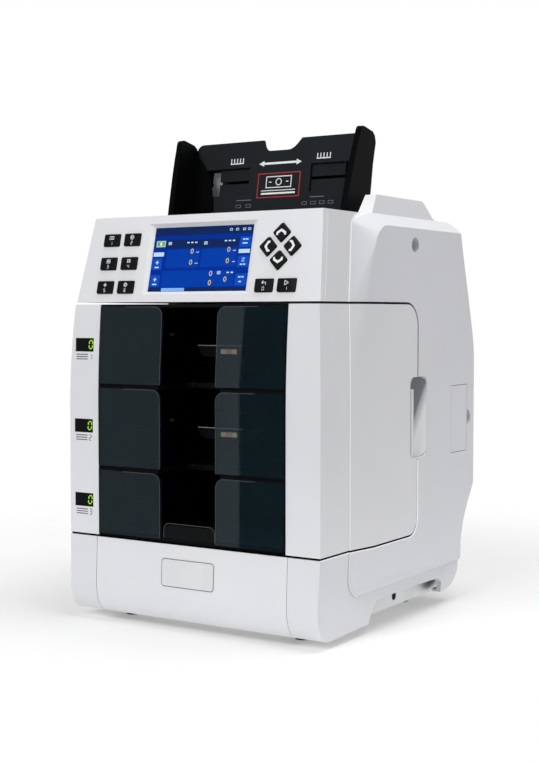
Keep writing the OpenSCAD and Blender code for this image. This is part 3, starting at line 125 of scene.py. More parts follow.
def noise(tree, where, scale, detail, **inputs):
    """A noise texture's value over the surface."""
    return add(tree, "ShaderNodeTexNoise",
               {"Vector": where, "Scale": scale, "Detail": detail, **inputs}).outputs["Fac"]


def mottled(tree, shader, colour, spread, scale):
    """Base colour that drifts a little around a mean; returns the place on the object."""
    where = add(tree, "ShaderNodeTexCoord").outputs["Object"]
    dark = tuple(c * (1 - spread) for c in colour)
    light = tuple(min(1.0, c * (1 + spread)) for c in colour)
    tone = ramp(tree, noise(tree, where, scale, 4.0), [(NOISE_LOW, dark), (NOISE_HIGH, light)])
    tree.links.new(tone, shader.inputs["Base Color"])
    return where


def grain(tree, shader, where, scale, depth, rough):
    """Moulded grain: fine bump, with roughness that follows it."""
    fine = noise(tree, where, scale, 3.0, Roughness=0.6)
    tree.links.new(span(tree, fine, (NOISE_LOW, NOISE_HIGH), rough), shader.inputs["Roughness"])
    bump = add(tree, "ShaderNodeBump", {"Height": fine, "Strength": 0.35, "Distance": depth})
    tree.links.new(bump.outputs["Normal"], shader.inputs["Normal"])


def moulded(name, colour, spread=0.02, scale=9.0, grain_scale=1400.0, depth=0.00006, rough=(0.4, 0.52),
            shine=0.5):
    """Moulded plastic with a faint drift of tone, a fine grain and a level of shine."""
    mat, tree, shader = new_material(name)
    shader.inputs["Specular IOR Level"].default_value = shine
    where = mottled(tree, shader, colour, spread, scale)
    grain(tree, shader, where, grain_scale, depth, rough)
    return mat


def painted_crevice_shade(mat, reach, low):
    """Darkens a material where other faces close in on it: painted shade in seams, crevices and recesses."""
    tree = mat.node_tree
    shader = next(n for n in tree.nodes if n.type == "BSDF_PRINCIPLED")
    base = shader.inputs["Base Color"].links[0].from_socket
    near = add(tree, "ShaderNodeAmbientOcclusion", {"Distance": reach}, samples=8)
    share = span(tree, near.outputs["AO"], (0.2, 0.85), (low, 1.0))
    tone = add(tree, "ShaderNodeVectorMath", {0: base, 1: share}, operation="MULTIPLY")
    tree.links.new(tone.outputs["Vector"], shader.inputs["Base Color"])


def smoked_plastic():
    """Clear smoked guard: glossy, blue-black, slightly see-through."""
    mat, tree, shader = new_material("smoked_plastic")
    where = mottled(tree, shader, (0.12, 0.28, 0.37), 0.08, 14.0)
    haze = span(tree, noise(tree, where, 60.0, 5.0), (0.0, 1.0), (0.004, 0.012))
    tree.links.new(haze, shader.inputs["Roughness"])
    shader.inputs["Transmission Weight"].default_value = 0.965
    shader.inputs["IOR"].default_value = 1.6
    return mat


def metal(name, colour, rough, stretch):
    """Steel or zinc with fine drawn lines."""
    mat, tree, shader = new_material(name)
    shader.inputs["Metallic"].default_value = 1.0
    where = mottled(tree, shader, colour, 0.06, 30.0)
    scaled = add(tree, "ShaderNodeMapping", {"Vector": where, "Scale": stretch})
    lines = span(tree, noise(tree, scaled.outputs["Vector"], 20.0, 4.0), (0.0, 1.0), rough)
    tree.links.new(lines, shader.inputs["Roughness"])
    return mat


def glow(name, colour, strength, drift=0.08, scale=300.0):
    """Lit surface: emission with a faint unevenness; also glows on stickers and edge beads as painted light.
    """
    mat, tree, shader = new_material(name)
    where = mottled(tree, shader, tuple(c * 0.1 for c in colour), drift, scale)
    dark = tuple(c * (1 - drift) for c in colour)
    tone = ramp(tree, noise(tree, where, scale, 2.0), [(NOISE_LOW, dark), (NOISE_HIGH, colour)])
    tree.links.new(tone, shader.inputs["Emission Color"])
    shader.inputs["Emission Strength"].default_value = strength
    shader.inputs["Roughness"].default_value = 0.4
    shader.inputs["Specular IOR Level"].default_value = 0.03
    return mat


def ink(name, colour):
    """Screen-printed ink with slightly uneven cover; the same finish also colours painted highlights on
    edges.
    """
    mat, tree, shader = new_material(name)
    where = mottled(tree, shader, colour, 0.05, 700.0)
    grain(tree, shader, where, 2500.0, 0.00002, (0.45, 0.6))
    return mat


def dark_moulding(name, colour, rough, shine, spread=0.1, scale=20.0, grain_scale=1100.0):
    """Black or charcoal plastic with a coarser grain than the casing."""
    return moulded(name, colour, spread, scale, grain_scale, 0.00008, rough, shine)


casing = moulded("casing_white", (0.795, 0.80, 0.825))
# The side covers get a slightly darker copy of the casing: painted shade of the sides.
shaded_side_casing = moulded("shaded_side_casing", (0.765, 0.77, 0.80))
# Painted shade: both casing colours darken in seams, crevices and recesses.
for shell in (casing, shaded_side_casing):
    painted_crevice_shade(shell, reach=4 * MM, low=0.42)
black = dark_moulding("black_moulding", (0.004, 0.0045, 0.005), (0.38, 0.55), 0.12)
tray_black = dark_moulding("tray_black", (0.006, 0.0065, 0.007), (0.22, 0.34), 0.2)
guide_black = dark_moulding("guide_black", (0.0015, 0.0018, 0.0022), (0.4, 0.55), 0.03)
charcoal = dark_moulding("hopper_charcoal", (0.0145, 0.017, 0.02), (0.42, 0.58), 0.06,
                         spread=0.08, scale=18.0, grain_scale=1200.0)
key_black = moulded("key_black", (0.005, 0.0055, 0.006), spread=0.08, scale=60.0, grain_scale=1600.0,
                    depth=0.00005, rough=(0.3, 0.42), shine=0.14)
badge_pale = moulded("badge_pale", (0.76, 0.765, 0.78), spread=0.03, scale=30.0, grain_scale=1500.0,
                     depth=0.00003, rough=(0.28, 0.38))
strip_pale = moulded("window_strip_pale", (0.42, 0.43, 0.45), spread=0.06, scale=40.0, grain_scale=900.0,
                     depth=0.00004, rough=(0.4, 0.55), shine=0.2)
rubber = moulded("rubber", (0.012, 0.012, 0.013), spread=0.12, scale=40.0, grain_scale=900.0,
                 depth=0.0001, rough=(0.6, 0.8))
nylon = moulded("nylon", (0.7, 0.69, 0.65), spread=0.04, scale=40.0, grain_scale=900.0,
                depth=0.00005, rough=(0.35, 0.5))
board = moulded("circuit_board", (0.015, 0.1, 0.035), spread=0.15, scale=120.0, grain_scale=700.0,
                depth=0.00008, rough=(0.3, 0.5))
glass_black = moulded("display_window", (0.006, 0.007, 0.008), spread=0.1, scale=50.0, grain_scale=300.0,
                      depth=0.00001, rough=(0.1, 0.18), shine=0.15)
smoked = smoked_plastic()
steel = metal("steel", (0.6, 0.61, 0.62), rough=(0.25, 0.4), stretch=(1.0, 60.0, 60.0))
zinc = metal("zinc_sheet", (0.62, 0.63, 0.64), rough=(0.35, 0.5), stretch=(30.0, 30.0, 4.0))

slot_material = {
    "casing": casing, "trim": badge_pale, "black": black, "smoked": smoked, "key": key_black,
    "display": glass_black, "screen": glass_black, "board": board, "sheet": zinc, "steel": steel,
    "roller": rubber, "foot": rubber, "gear": nylon,
}
node_material = {
    "right_side_cover": shaded_side_casing, "left_side_cover": shaded_side_casing, "port_flap": shaded_side_casing,
    "hopper_back": charcoal, "left_note_guide": guide_black, "right_note_guide": guide_black,
    "guide_housing": charcoal, "reject_tray": tray_black,
    "stacker_wheel_1": black, "stacker_wheel_2": black,
}


# Materials and rounded edges of the CAD pieces

def paint(obj, mat):
    """One material over the whole of an object."""
    obj.data.materials.clear()
    obj.data.materials.append(mat)


def soften(obj, width, segments=2):
    """Rounds an object's sharp edges, as moulding does, after its flat areas are made whole."""
    weld = obj.modifiers.new("weld", "WELD")
    weld.merge_threshold = 2e-6
    flats = obj.modifiers.new("flats", "DECIMATE")
    flats.decimate_type = "DISSOLVE"
    flats.angle_limit = math.radians(0.2)
    bevel = obj.modifiers.new("edges", "BEVEL")
    bevel.width = width
    bevel.segments = segments
    bevel.limit_method = "ANGLE"
    bevel.angle_limit = math.radians(32)
    bevel.harden_normals = True
    bevel.use_clamp_overlap = True


for part in frame["record"]["subparts"]:
    paint(nodes[part["node"]], node_material.get(part["node"], slot_material[part["material_slot"]]))

shell_edges = {
    "right_side_cover": 0.8, "left_side_cover": 0.8, "door_right_panel": 0.7, "door_left_panel": 0.7,
    "control_panel": 0.7, "base_front": 0.7, "top_cover": 0.5, "rear_cover": 0.5,
}
inner_edges = {
    "hopper_back": 0.5, "left_note_guide": 0.6, "right_note_guide": 0.6, "stacker_shelves": 0.4,
    "reject_tray": 0.4, "badge_plate": 0.25, "port_flap": 0.3, "feet": 0.8,
}
KEY_EDGE = 0.5
for name, width in {**shell_edges, **inner_edges}.items():
    soften(nodes[name], width * MM)
for name in shell_edges:
    even = nodes[name].modifiers.new("even_normals", "WEIGHTED_NORMAL")
    even.keep_sharp = False
for name in nodes:
    if name.startswith("key_") and name != "key_board":
        soften(nodes[name], KEY_EDGE * MM, segments=3)


# Planes that marks lie in, and pieces built on them

class Face:
    """A plane that leans back, with u to the right, v up its slope and w outwards, in millimetres."""

    def __init__(self, origin, lean):
        a = math.radians(lean)
        self.origin = Vector(origin)
        self.right = Vector((1, 0, 0))
        self.up = Vector((0, math.sin(a), math.cos(a)))
        self.out = Vector((0, -math.cos(a), math.sin(a)))

    def at(self, u, v, w):
        return (self.origin + self.right * u + self.up * v + self.out * w) * MM


class SideFace(Face):
    """An upright plane on the right side, u to the rear and v up, turned by an angle from the side."""

    def __init__(self, origin, turn):
        a = math.radians(turn)
        self.origin = Vector(origin)
        self.right = Vector((math.sin(a), math.cos(a), 0))
        self.up = Vector((0, 0, 1))
        self.out = Vector((math.cos(a), -math.sin(a), 0))


PANEL = Face((0, FACE_LEAN - MID_Y, DOOR_TOP), PANEL_LEAN)
HOPPER = Face((0, HOPPER_Y - MID_Y, BODY_H), HOPPER_LEAN)
PRINT = 0.04
TUBE_SIDES = 8


def new_object(name, bm, mat):
    """A painted object in the scene from a bmesh in metres."""
    mesh = bpy.data.meshes.new(name)
    bm.to_mesh(mesh)
    bm.free()
    obj = bpy.data.objects.new(name, mesh)
    bpy.context.scene.collection.objects.link(obj)
    paint(obj, mat)
    return obj


def new_piece(name, bm, mat, body):
    """A closed piece that rides on a body."""
    bmesh.ops.recalc_face_normals(bm, faces=bm.faces)
    obj = new_object(name, bm, mat)
    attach(obj, body)
    return obj


def close_loops(bm, low, top):
    """Faces of a closed solid between two loops of the same number of points."""
    bm.faces.new(top)
    bm.faces.new(list(reversed(low)))
    for i in range(len(low)):
        j = (i + 1) % len(low)
        bm.faces.new((low[i], low[j], top[j], top[i]))


def sheet_piece(name, face, polygons, w, mat, body, thick=0.03):
    """Thin raised marks: closed polygons of (u, v) points on a face, as one mesh."""
    bm = bmesh.new()
    for points in polygons:
        low = [bm.verts.new(face.at(u, v, w - thick)) for u, v in points]
        top = [bm.verts.new(face.at(u, v, w)) for u, v in points]
        close_loops(bm, low, top)
    return new_piece(name, bm, mat, body)


def tube(name, points, radii, mat, body):
    """Round bead through points given in millimetres, with a radius for each."""
    bm = bmesh.new()
    rings = []
    angles = [2 * math.pi * k / TUBE_SIDES for k in range(TUBE_SIDES)]
    for i, (point, radius) in enumerate(zip(points, radii)):
        along = (points[min(i + 1, len(points) - 1)] - points[max(i - 1, 0)]).normalized()
        side = along.cross(Vector((1, 0, 0))).normalized()
        out = side.cross(along)
        spots = [point + (side * math.cos(a) + out * math.sin(a)) * radius for a in angles]
        rings.append([bm.verts.new(spot * MM) for spot in spots])
    for low, high in zip(rings, rings[1:]):
        for k in range(TUBE_SIDES):
            j = (k + 1) % TUBE_SIDES
            bm.faces.new((low[k], low[j], high[j], high[k])).smooth = True
    bm.faces.new(list(reversed(rings[0])))
    bm.faces.new(rings[-1])
    new_piece(name, bm, mat, body)


def even_tube(name, points, radius, mat, body):
    """Round bead of one radius."""
    tube(name, points, [radius] * len(points), mat, body)


# Outlines of marks

def steps(start, end, n=10):
    """Evenly spaced values, both ends included."""
    return [start + (end - start) * i / n for i in range(n + 1)]


def turns(start, end, n=10):
    """Evenly spaced angles in radians between two in degrees."""
    return [math.radians(a) for a in steps(start, end, n)]


def arc(u, v, r, start, end, n):
    """Points on an arc."""
    return [(u + r * math.cos(a), v + r * math.sin(a)) for a in turns(start, end, n)]


def cubic(a, b, c, d, n=8):
    """Values along a cubic curve."""
    return [a * (1 - t) ** 3 + b * 3 * t * (1 - t) ** 2 + c * 3 * t * t * (1 - t) + d * t ** 3
            for t in steps(0, 1, n)]


def rect(u, v, w, h):
    """Rectangle about its middle."""
    x, y = w / 2, h / 2
    return [(u - x, v - y), (u + x, v - y), (u + x, v + y), (u - x, v + y)]


def bar(a, b, t):
    """Straight stroke of width t."""
    d = Vector((b[0] - a[0], b[1] - a[1])).normalized()
    x, y = -d.y * t / 2, d.x * t / 2
    return [(a[0] - x, a[1] - y), (b[0] - x, b[1] - y), (b[0] + x, b[1] + y), (a[0] + x, a[1] + y)]


def path(points, t):
    """A stroke through points, as bars."""
    return [bar(a, b, t) for a, b in zip(points, points[1:])]


def ring(u, v, rx, ry, t, n=20):
    """Oval stroke as short bars."""
    return path([(u + rx * math.cos(a), v + ry * math.sin(a)) for a in turns(0.0, 360.0, n)], t)


def disc(u, v, r, n=20):
    """Filled circle."""
    return arc(u, v, r, 0.0, 360.0, n)[:-1]


def border(u, v, w, h, t):
    """Rectangular border of thickness t."""
    x, y = w / 2 - t / 2, h / 2 - t / 2
    return [rect(u, v + y, w, t), rect(u, v - y, w, t),
            rect(u - x, v, t, h - 2 * t), rect(u + x, v, t, h - 2 * t)]


def rounded_outline(w, h, r, n=5):
    """Closed line round a rectangle with round corners."""
    line = []
    for k, (x, y) in enumerate(((1, 1), (-1, 1), (-1, -1), (1, -1))):
        line += arc(x * (w / 2 - r), y * (h / 2 - r), r, 90 * k, 90 * k + 90, n)
    return line + line[:1]


SEGMENTS = {0: "abcdef", 1: "bc", 2: "abged", 3: "abgcd", 4: "fgbc", 5: "afgcd", 6: "afgedc"}


def seven_segment(digit, u, v, w, h, t, slant=0.0):
    """A seven-segment figure about its middle."""
    def lean(x, y):
        return (u + x + slant * y, v + y)
    x, y, g = w / 2, h / 2, t * 0.55
    lines = {
        "a": ((-x + g, y), (x - g, y)), "b": ((x, y - g), (x, g)), "c": ((x, -g), (x, -y + g)),
        "d": ((-x + g, -y), (x - g, -y)), "e": ((-x, -g), (-x, -y + g)), "f": ((-x, y - g), (-x, g)),
        "g": ((-x + g, 0), (x - g, 0)),
    }
    return [bar(lean(*lines[s][0]), lean(*lines[s][1]), t) for s in SEGMENTS[digit]]


# Printed marks on the keys
white_ink = ink("white_ink", (0.86, 0.87, 0.88))
grey_ink = ink("grey_ink", (0.16, 0.17, 0.19))
red_ink = ink("red_ink", (0.38, 0.006, 0.012))


def note_icon(u, v):
    return border(u, v, 5.4, 3.4, 0.5) + [disc(u, v, 0.8)]


def stack_icon(u, v):
    return [rect(u, v + d, 5.0 - 0.4 * abs(d), 0.7) for d in (-1.4, 0.0, 1.4)]


def globe_icon(u, v):
    return ring(u, v, 2.0, 2.0, 0.5) + ring(u, v, 0.8, 2.0, 0.4) + [rect(u, v, 4.0, 0.45)]


def grid_icon(u, v):
    return [rect(u + x, v + y, 1.5, 1.3) for x in (-1.1, 1.1) for y in (-0.95, 0.95)]


def plus_icon(u, v):
    return [rect(u, v, 3.8, 0.9), rect(u, v, 0.9, 3.8)]


def gear_icon(u, v):
    roots, tips = arc(u, v, 1.2, 0, 360, 8)[:-1], arc(u, v, 2.2, 0, 360, 8)[:-1]
    return [bar(root, tip, 0.7) for root, tip in zip(roots, tips)] + ring(u, v, 1.2, 1.2, 0.6)


def play_icon(u, v):
    return path([(u - 1.6, v - 2.1), (u - 1.6, v + 2.1), (u + 2.2, v), (u - 1.6, v - 2.1)], 0.55)


def back_icon(u, v):
    return (path([(u + 2.2, v - 1.6), (u + 2.2, v + 0.6), (u - 1.8, v + 0.6)], 0.6)
            + path([(u - 0.4, v + 2.0), (u - 1.9, v + 0.6), (u - 0.4, v - 0.8)], 0.6))


CHEVRON = ((3.3, 0), (0.2, 5.0), (-2.6, 5.0), (-2.6, 3.4), (-1.0, 2.8), (0.7, 0),
           (-1.0, -2.8), (-2.6, -3.4), (-2.6, -5.0), (0.2, -5.0))
ICON_UP, RIGHT_ICON_UP, DIGIT_DOWN = 2.1, 1.9, 3.1


def chevron(u, v, turn):
    """Thick chevron that points along an angle."""
    c, s = math.cos(math.radians(turn)), math.sin(math.radians(turn))
    return [[(u + x * c - y * s, v + x * s + y * c) for x, y in CHEVRON]]


def key_digit(digit, u, v):
    """Small numeral in the lower half of a key."""
    return seven_segment(digit, u, v - DIGIT_DOWN, 1.9, 3.0, 0.5)


def legend(key, marks):
    """Marks printed on a key, which move with it."""
    sheet_piece("legend_" + key, PANEL, marks, KEY_PROUD + PRINT, white_ink, key)


for i, icon in enumerate((note_icon, globe_icon, stack_icon, grid_icon, plus_icon, gear_icon)):
    u, v = LEFT_COLUMNS[i % 2], KEY_ROWS[i // 2]
    legend("key_left_%d" % (i + 1), icon(u, v + ICON_UP) + key_digit(i + 1, u, v))
for digit, (name, icon) in enumerate((("key_cancel", back_icon), ("key_start", play_icon))):
    u, v = RIGHT_COLUMNS[digit], KEY_ROWS[2]
    legend(name, icon(u, v + RIGHT_ICON_UP) + key_digit(digit, u, v))
for name, du, dv, turn in (("key_up", 0, 1, 90), ("key_down", 0, -1, 270),
                           ("key_left", -1, 0, 180), ("key_right", 1, 0, 0)):
    legend(name, chevron(ARROW_MID[0] + du * ARROW_STEP, ARROW_MID[1] + dv * ARROW_STEP, turn))


# Picture on the screen: s runs from left to right and t from top to bottom, both 0 to 1
LAYER = 0.02
PALE_BLUE = (0.55, 0.72, 0.95)


def screen_spot(s, t):
    """Place on the panel's face of a place on the screen."""
    return SCREEN_OFF + (s - 0.5) * SCREEN_W, SCREEN_MID + (0.5 - t) * SCREEN_H


def screen_rect(s0, s1, t0, t1):
    """Rectangle between two places on the screen."""
    u0, v0 = screen_spot(s0, t1)
    u1, v1 = screen_spot(s1, t0)
    return [(u0, v0), (u1, v0), (u1, v1), (u0, v1)]


def drawn_at(draw, places):
    """The same marks at several places on the screen."""
    return [polygon for s, t in places for polygon in draw(*screen_spot(s, t))]


def screen_layer(name, polygons, colour, level):
    """One colour of the picture, a hair above the glass."""
    height = -SCREEN_DEPTH + LAYER * (level + 1)
    sheet_piece("screen_" + name, PANEL, polygons, height, glow("lit_" + name, colour, 1.0), "chassis", LAYER)


def blocks(name, places, colour, level):
    """A layer of plain rectangles."""
    screen_layer(name, [screen_rect(*place) for place in places], colour, level)


blocks("field", [(0.0, 1.0, 0.0, 1.0)], (0.0005, 0.028, 0.29), 0)
blocks("bars", [(0.0, 1.0, 0.0, 0.13), (0.13, 0.87, 0.2, 0.33), (0.0, 1.0, 0.94, 1.0)],
       (0.006, 0.02, 0.10), 1)
blocks("panels", [(0.15, 0.49, 0.35, 0.63), (0.51, 0.86, 0.35, 0.63), (0.13, 0.86, 0.68, 0.93)],
       (0.001, 0.045, 0.37), 1)
blocks("buttons", [(0.01, 0.11, 0.48, 0.66), (0.01, 0.11, 0.74, 0.92), (0.88, 0.99, 0.18, 0.34),
                   (0.88, 0.99, 0.47, 0.64), (0.88, 0.99, 0.74, 0.92)], (0.004, 0.07, 0.47), 2)
blocks("pale", [(0.01, 0.12, 0.385, 0.45), (0.88, 0.99, 0.37, 0.43)], (0.5, 0.68, 0.95), 2)
blocks("progress", [(0.14, 0.38, 0.945, 0.995)], (0.24, 0.45, 0.86), 2)

zeros = drawn_at(lambda u, v: ring(u, v, 1.3, 2.1, 0.7, 14),
                 ((0.41, 0.38), (0.78, 0.37), (0.41, 0.55), (0.78, 0.54), (0.63, 0.73), (0.63, 0.87),
                  (0.78, 0.82)))
screen_layer("zeros", zeros, (0.78, 0.62, 0.05), 3)

pale_marks = drawn_at(lambda u, v: [rect(u + 1.4, v - 0.8, 3.2, 0.6)],
                      ((0.455, 0.385), (0.825, 0.375), (0.455, 0.555), (0.83, 0.545)))
pale_marks += drawn_at(lambda u, v: [rect(u, v, 2.6, 1.2)],
                       ((0.36, 0.245), (0.40, 0.245), (0.44, 0.245), (0.74, 0.235), (0.78, 0.235),
                        (0.82, 0.235), (0.80, 0.72), (0.84, 0.72), (0.05, 0.62), (0.07, 0.62),
                        (0.05, 0.885), (0.07, 0.885), (0.92, 0.22), (0.95, 0.22), (0.92, 0.28),
                        (0.945, 0.28), (0.92, 0.6), (0.95, 0.6), (0.92, 0.79), (0.95, 0.79), (0.93, 0.86)))
pale_marks += drawn_at(lambda u, v: border(u, v, 3.0, 2.2, 0.5),
                       ((0.78, 0.065), (0.84, 0.065), (0.91, 0.065), (0.96, 0.065)))
pale_marks += drawn_at(lambda u, v: border(u, v, 3.6, 2.8, 0.6) + [rect(u, v, 1.6, 0.8)],
                       ((0.54, 0.26), (0.17, 0.25), (0.71, 0.72)))
pale_marks += drawn_at(plus_icon, ((0.06, 0.545), (0.06, 0.81)))
u, v = screen_spot(0.935, 0.53)
pale_marks += path([(u - 1.6, v + 1.4), (u + 1.6, v + 1.4), (u - 1.6, v - 1.4), (u + 1.6, v - 1.4)], 0.5)
screen_layer("marks", pale_marks, PALE_BLUE, 3)
u, v = screen_spot(0.075, 0.255)
screen_layer("note_green", [rect(u, v, 11.0, 6.4)], (0.12, 0.35, 0.10), 2)
screen_layer("note_white", border(u, v, 9.6, 5.0, 0.5) + [disc(u, v, 1.5)], (0.75, 0.8, 0.75), 3)


# Marks on the hopper's back plate
TICK_V, ARROW_V, LABEL_V, SMALL_V = 61.4, 59.5, 37.0, 17.0
NOTE_V = LABEL_V + 3.2

ticks = []
for u in (-52.0, 50.0):
    ticks.append(rect(u, TICK_V, 16.0, 1.0))
    ticks += [rect(u - 7.2 + 3.6 * i, TICK_V + 2.8, 1.0, 5.0) for i in range(5)]
ticks.append(rect(0, ARROW_V, 40.0, 2.2))
ticks += [[(-25.0, ARROW_V), (-19.0, ARROW_V - 2.9), (-19.0, ARROW_V + 2.9)],
          [(25.0, ARROW_V), (19.0, ARROW_V + 2.9), (19.0, ARROW_V - 2.9)]]
sheet_piece("hopper_ticks", HOPPER, ticks, PRINT, white_ink, "chassis")
sheet_piece("hopper_label_border", HOPPER, border(0, LABEL_V, 50.0, 25.4, 1.1), PRINT, red_ink, "chassis")
label_marks = border(0, NOTE_V, 30.0, 12.0, 0.9) + ring(0, NOTE_V, 3.2, 3.2, 0.9)
label_marks += [rect(x, NOTE_V, 3.0, 0.9) for x in (-10.0, 10.0)]
label_marks += [rect(0, LABEL_V - 5.4, 40.0, 0.8), rect(0, LABEL_V - 8.4, 40.0, 1.8)]
sheet_piece("hopper_label_note", HOPPER, label_marks, PRINT, white_ink, "chassis")
small_marks = []
for u in (-46.0, -34.0, 32.0, 42.0, 52.0, 62.0):
    small_marks += border(u, SMALL_V, 6.0, 3.2, 0.45)
small_marks += [rect(-40.0, SMALL_V + 6.0, 18.0, 0.7), rect(46.0, SMALL_V + 6.0, 16.0, 0.7)]
sheet_piece("hopper_small_marks", HOPPER, small_marks, PRINT, grey_ink, "chassis")

# Pale strip behind the open end of the left window
STRIP_BACK, STRIP_T = 16.1, 0.4
strip_area = rect(-89.0, 42.6, 20.0, 30.0)
sheet_piece("window_strip", HOPPER, [strip_area], -STRIP_BACK, strip_pale, "chassis", STRIP_T)

# Thin dark outline of the bare badge plate
OUTLINE_IN, OUTLINE_T = 0.8, 0.55
badge_lean = math.atan(BASE_BULGE / (DOOR_BOTTOM - BROW_Z))
badge_y = -BASE_BULGE + (BADGE_Z - BROW_Z) * math.tan(badge_lean)
BADGE = Face((0, badge_y - MID_Y, BADGE_Z), math.degrees(badge_lean))
edge_ink = ink("edge_ink", (0.10, 0.105, 0.115))
badge_line = rounded_outline(BADGE_W - OUTLINE_IN, BADGE_H - OUTLINE_IN, BADGE_CORNER)
sheet_piece("badge_outline", BADGE, path(badge_line, OUTLINE_T), BADGE_PROUD + PRINT, edge_ink, "chassis")


# Shape of the casing's front and right side

def lean_share(z):
    """Share of the door's lean reached at a height, before it is squared."""
    return max(0.0, (z - LEAN_Z) / (DOOR_TOP - LEAN_Z))


def face_y(z):
    """How far the front face lies back at a height."""
    if z <= DOOR_TOP:
        return FACE_LEAN * lean_share(z) ** 2
    return FACE_LEAN + (z - DOOR_TOP) * math.tan(math.radians(PANEL_LEAN))


def half_w(z):
    """Half the width of the front at a height."""
    if z <= DOOR_TOP:
        return FRONT_W / 2 - DOOR_TAPER * lean_share(z) ** 2
    return FRONT_W / 2 - DOOR_TAPER - PANEL_TAPER * (z - DOOR_TOP) / (BODY_H - DOOR_TOP)


BASE_IN = 0.05


def side_x(y):
    """How far out the right side lies under the door, at a depth."""
    if y <= STEP_Y:
        return FRONT_W / 2 - BASE_IN
    step_x = FRONT_W / 2 + STEP_H
    return min(SIDE_X, step_x + (y - STEP_Y) * (SIDE_X - step_x) / SLOPE_W)


# Figures and numerals by the pockets
FIGURE_SLANT, LABEL_DOWN, LABEL_REACH = 0.12, 5.0, 3.0
lit_green = glow("lit_green", (0.42, 0.80, 0.02), 1.0)
for i, (low, high) in enumerate(POCKETS, 1):
    z = (low + high) / 2
    window = Face((DISPLAY_X, face_y(z + DISPLAY_H / 2) + DISPLAY_SUNK - MID_Y, z), 0.0)
    figure = seven_segment(0, 7.2, 0.2, 4.0, 7.6, 1.1, FIGURE_SLANT)
    sheet_piece("figure_%d" % i, window, figure, PRINT, lit_green, "door")
    z_label = z - DISPLAY_H / 2 - LABEL_DOWN
    rise = face_y(z_label + LABEL_REACH) - face_y(z_label - LABEL_REACH)
    strip = Face((DISPLAY_X, face_y(z_label) - MID_Y, z_label),
                 math.degrees(math.atan(rise / (2 * LABEL_REACH))))
    marks = seven_segment(i, 8.0, 0, 2.8, 5.2, 0.8) + [rect(-2.6, d, 14.0, 0.9) for d in (-2.2, 0.0, 2.2)]
    sheet_piece("numeral_%d" % i, strip, marks, PRINT, edge_ink, "door")


# Painted highlights on the right side: glowing beads along its step, the panel's rear seam and the door's
# opening
BEAD_R, TOP_BEAD_R, BEAD_OUT, LOW_START, LOW_GROWTH = 0.55, 0.9, 0.1, 10, 0.017
TURN_SPACE, CURVE_PULL = 4.0, 0.45
SEAM_R, SEAM_IN, SEAM_END = 0.4, 0.8, 1.5
EDGE_R, EDGE_IN, EDGE_START, EDGE_STOP = 0.45, 0.75, 0.3, 2.0
UNDER_SPOTS = (20.0, 40.0, 50.6, 51.2, 60.0, 72.0, 85.0, 110.0, 130.0)


def highlight_glow(name, strength):
    """Near-white painted highlight: an edge that glows though it is no lamp."""
    return glow(name, (0.93, 0.935, 0.95), strength, 0.03, 90.0)


def step_point(y, z, radius=BEAD_R):
    """Middle of a bead that covers the step's riser."""
    return Vector((half_w(z) + STEP_H - radius + BEAD_OUT, y - radius / 2 - MID_Y, z))


def under_door(start, grow, last):
    """Spots (y, z) along the door's lower edge and round its rear corner, grown outwards."""
    z, y, r = DOOR_BOTTOM - grow, DOOR_Y + grow, DOOR_CORNER + grow
    line = [(spot, z) for spot in (start, *UNDER_SPOTS)]
    return line + [(y - r * (1 - math.sin(a)), z + r * (1 - math.cos(a))) for a in turns(0, last, 8)]


# These beads glow near-white: painted highlights along the edges, whatever the lamps do.
painted_highlight_white = highlight_glow("painted_highlight_white", 0.78)
painted_highlight_bright = highlight_glow("painted_highlight_bright", 1.02)
painted_highlight_soft = highlight_glow("painted_highlight_soft", 0.62)

low_spots = [(STEP_Y + LOW_R * (1 - math.sin(a)), PANEL_Z + LOW_R * (1 - math.cos(a)))
             for a in turns(LOW_START, 90)]
low_spots.append((STEP_Y, DOOR_BOTTOM - HALF_GAP))
low_radii = [BEAD_R + LOW_GROWTH * (DOOR_BOTTOM - z) for y, z in low_spots]
low_line = [step_point(y, z, radius) for (y, z), radius in zip(low_spots, low_radii)]
door_line = [step_point(STEP_Y + face_y(z), z) for z in steps(DOOR_BOTTOM + HALF_GAP, DOOR_TOP - HALF_GAP)]
turn_z = BODY_H - STEP_CORNER[1]
turn_y = STEP_Y + face_y(turn_z)
top_spots = [(STEP_Y + face_y(z), z) for z in steps(DOOR_TOP + HALF_GAP, turn_z - TURN_SPACE)]
top_spots += zip(cubic(turn_y, turn_y, turn_y + STEP_CORNER[0] * CURVE_PULL, turn_y + STEP_CORNER[0]),
                 cubic(turn_z, BODY_H - STEP_CORNER[1] * CURVE_PULL, BODY_H, BODY_H))
top_line = [step_point(y, z, TOP_BEAD_R) for y, z in top_spots]
tube("step_highlight_low", low_line, low_radii, painted_highlight_soft, "chassis")
even_tube("step_highlight_door", door_line, BEAD_R, painted_highlight_white, "door")
even_tube("step_highlight_top", top_line, TOP_BEAD_R, painted_highlight_white, "chassis")
seam_line = [Vector((half_w(z) - SEAM_R * SEAM_IN, face_y(z) + PANEL_RETURN - MID_Y, z))
             for z in steps(DOOR_TOP + HALF_GAP, BODY_H - SEAM_END)]
even_tube("rear_seam_highlight", seam_line, SEAM_R, painted_highlight_white, "chassis")
edge_spots = under_door(EDGE_START, HALF_GAP + EDGE_R * EDGE_IN, 90)
edge_spots.append((edge_spots[-1][0], RECESS_Z - RECESS_H / 2 - EDGE_STOP))
edge_line = [Vector((side_x(y) - EDGE_R * EDGE_IN, y - MID_Y, z)) for y, z in edge_spots]
even_tube("door_opening_highlight", edge_line, EDGE_R, painted_highlight_bright, "chassis")


# Painted shade in the finger recess, with painted light at the scoop's lower end: darker towards its top and
# its front
SHADE_OUT, SHADE_IN, SHADE_T, SCOOP_SKEW = 0.08, 0.4, 0.05, 0.75
BRIGHT, PALE = (0.95, 0.955, 0.96), (0.8, 0.805, 0.82)
MID_GREY, DARK_GREY = (0.55, 0.56, 0.58), (0.22, 0.235, 0.255)


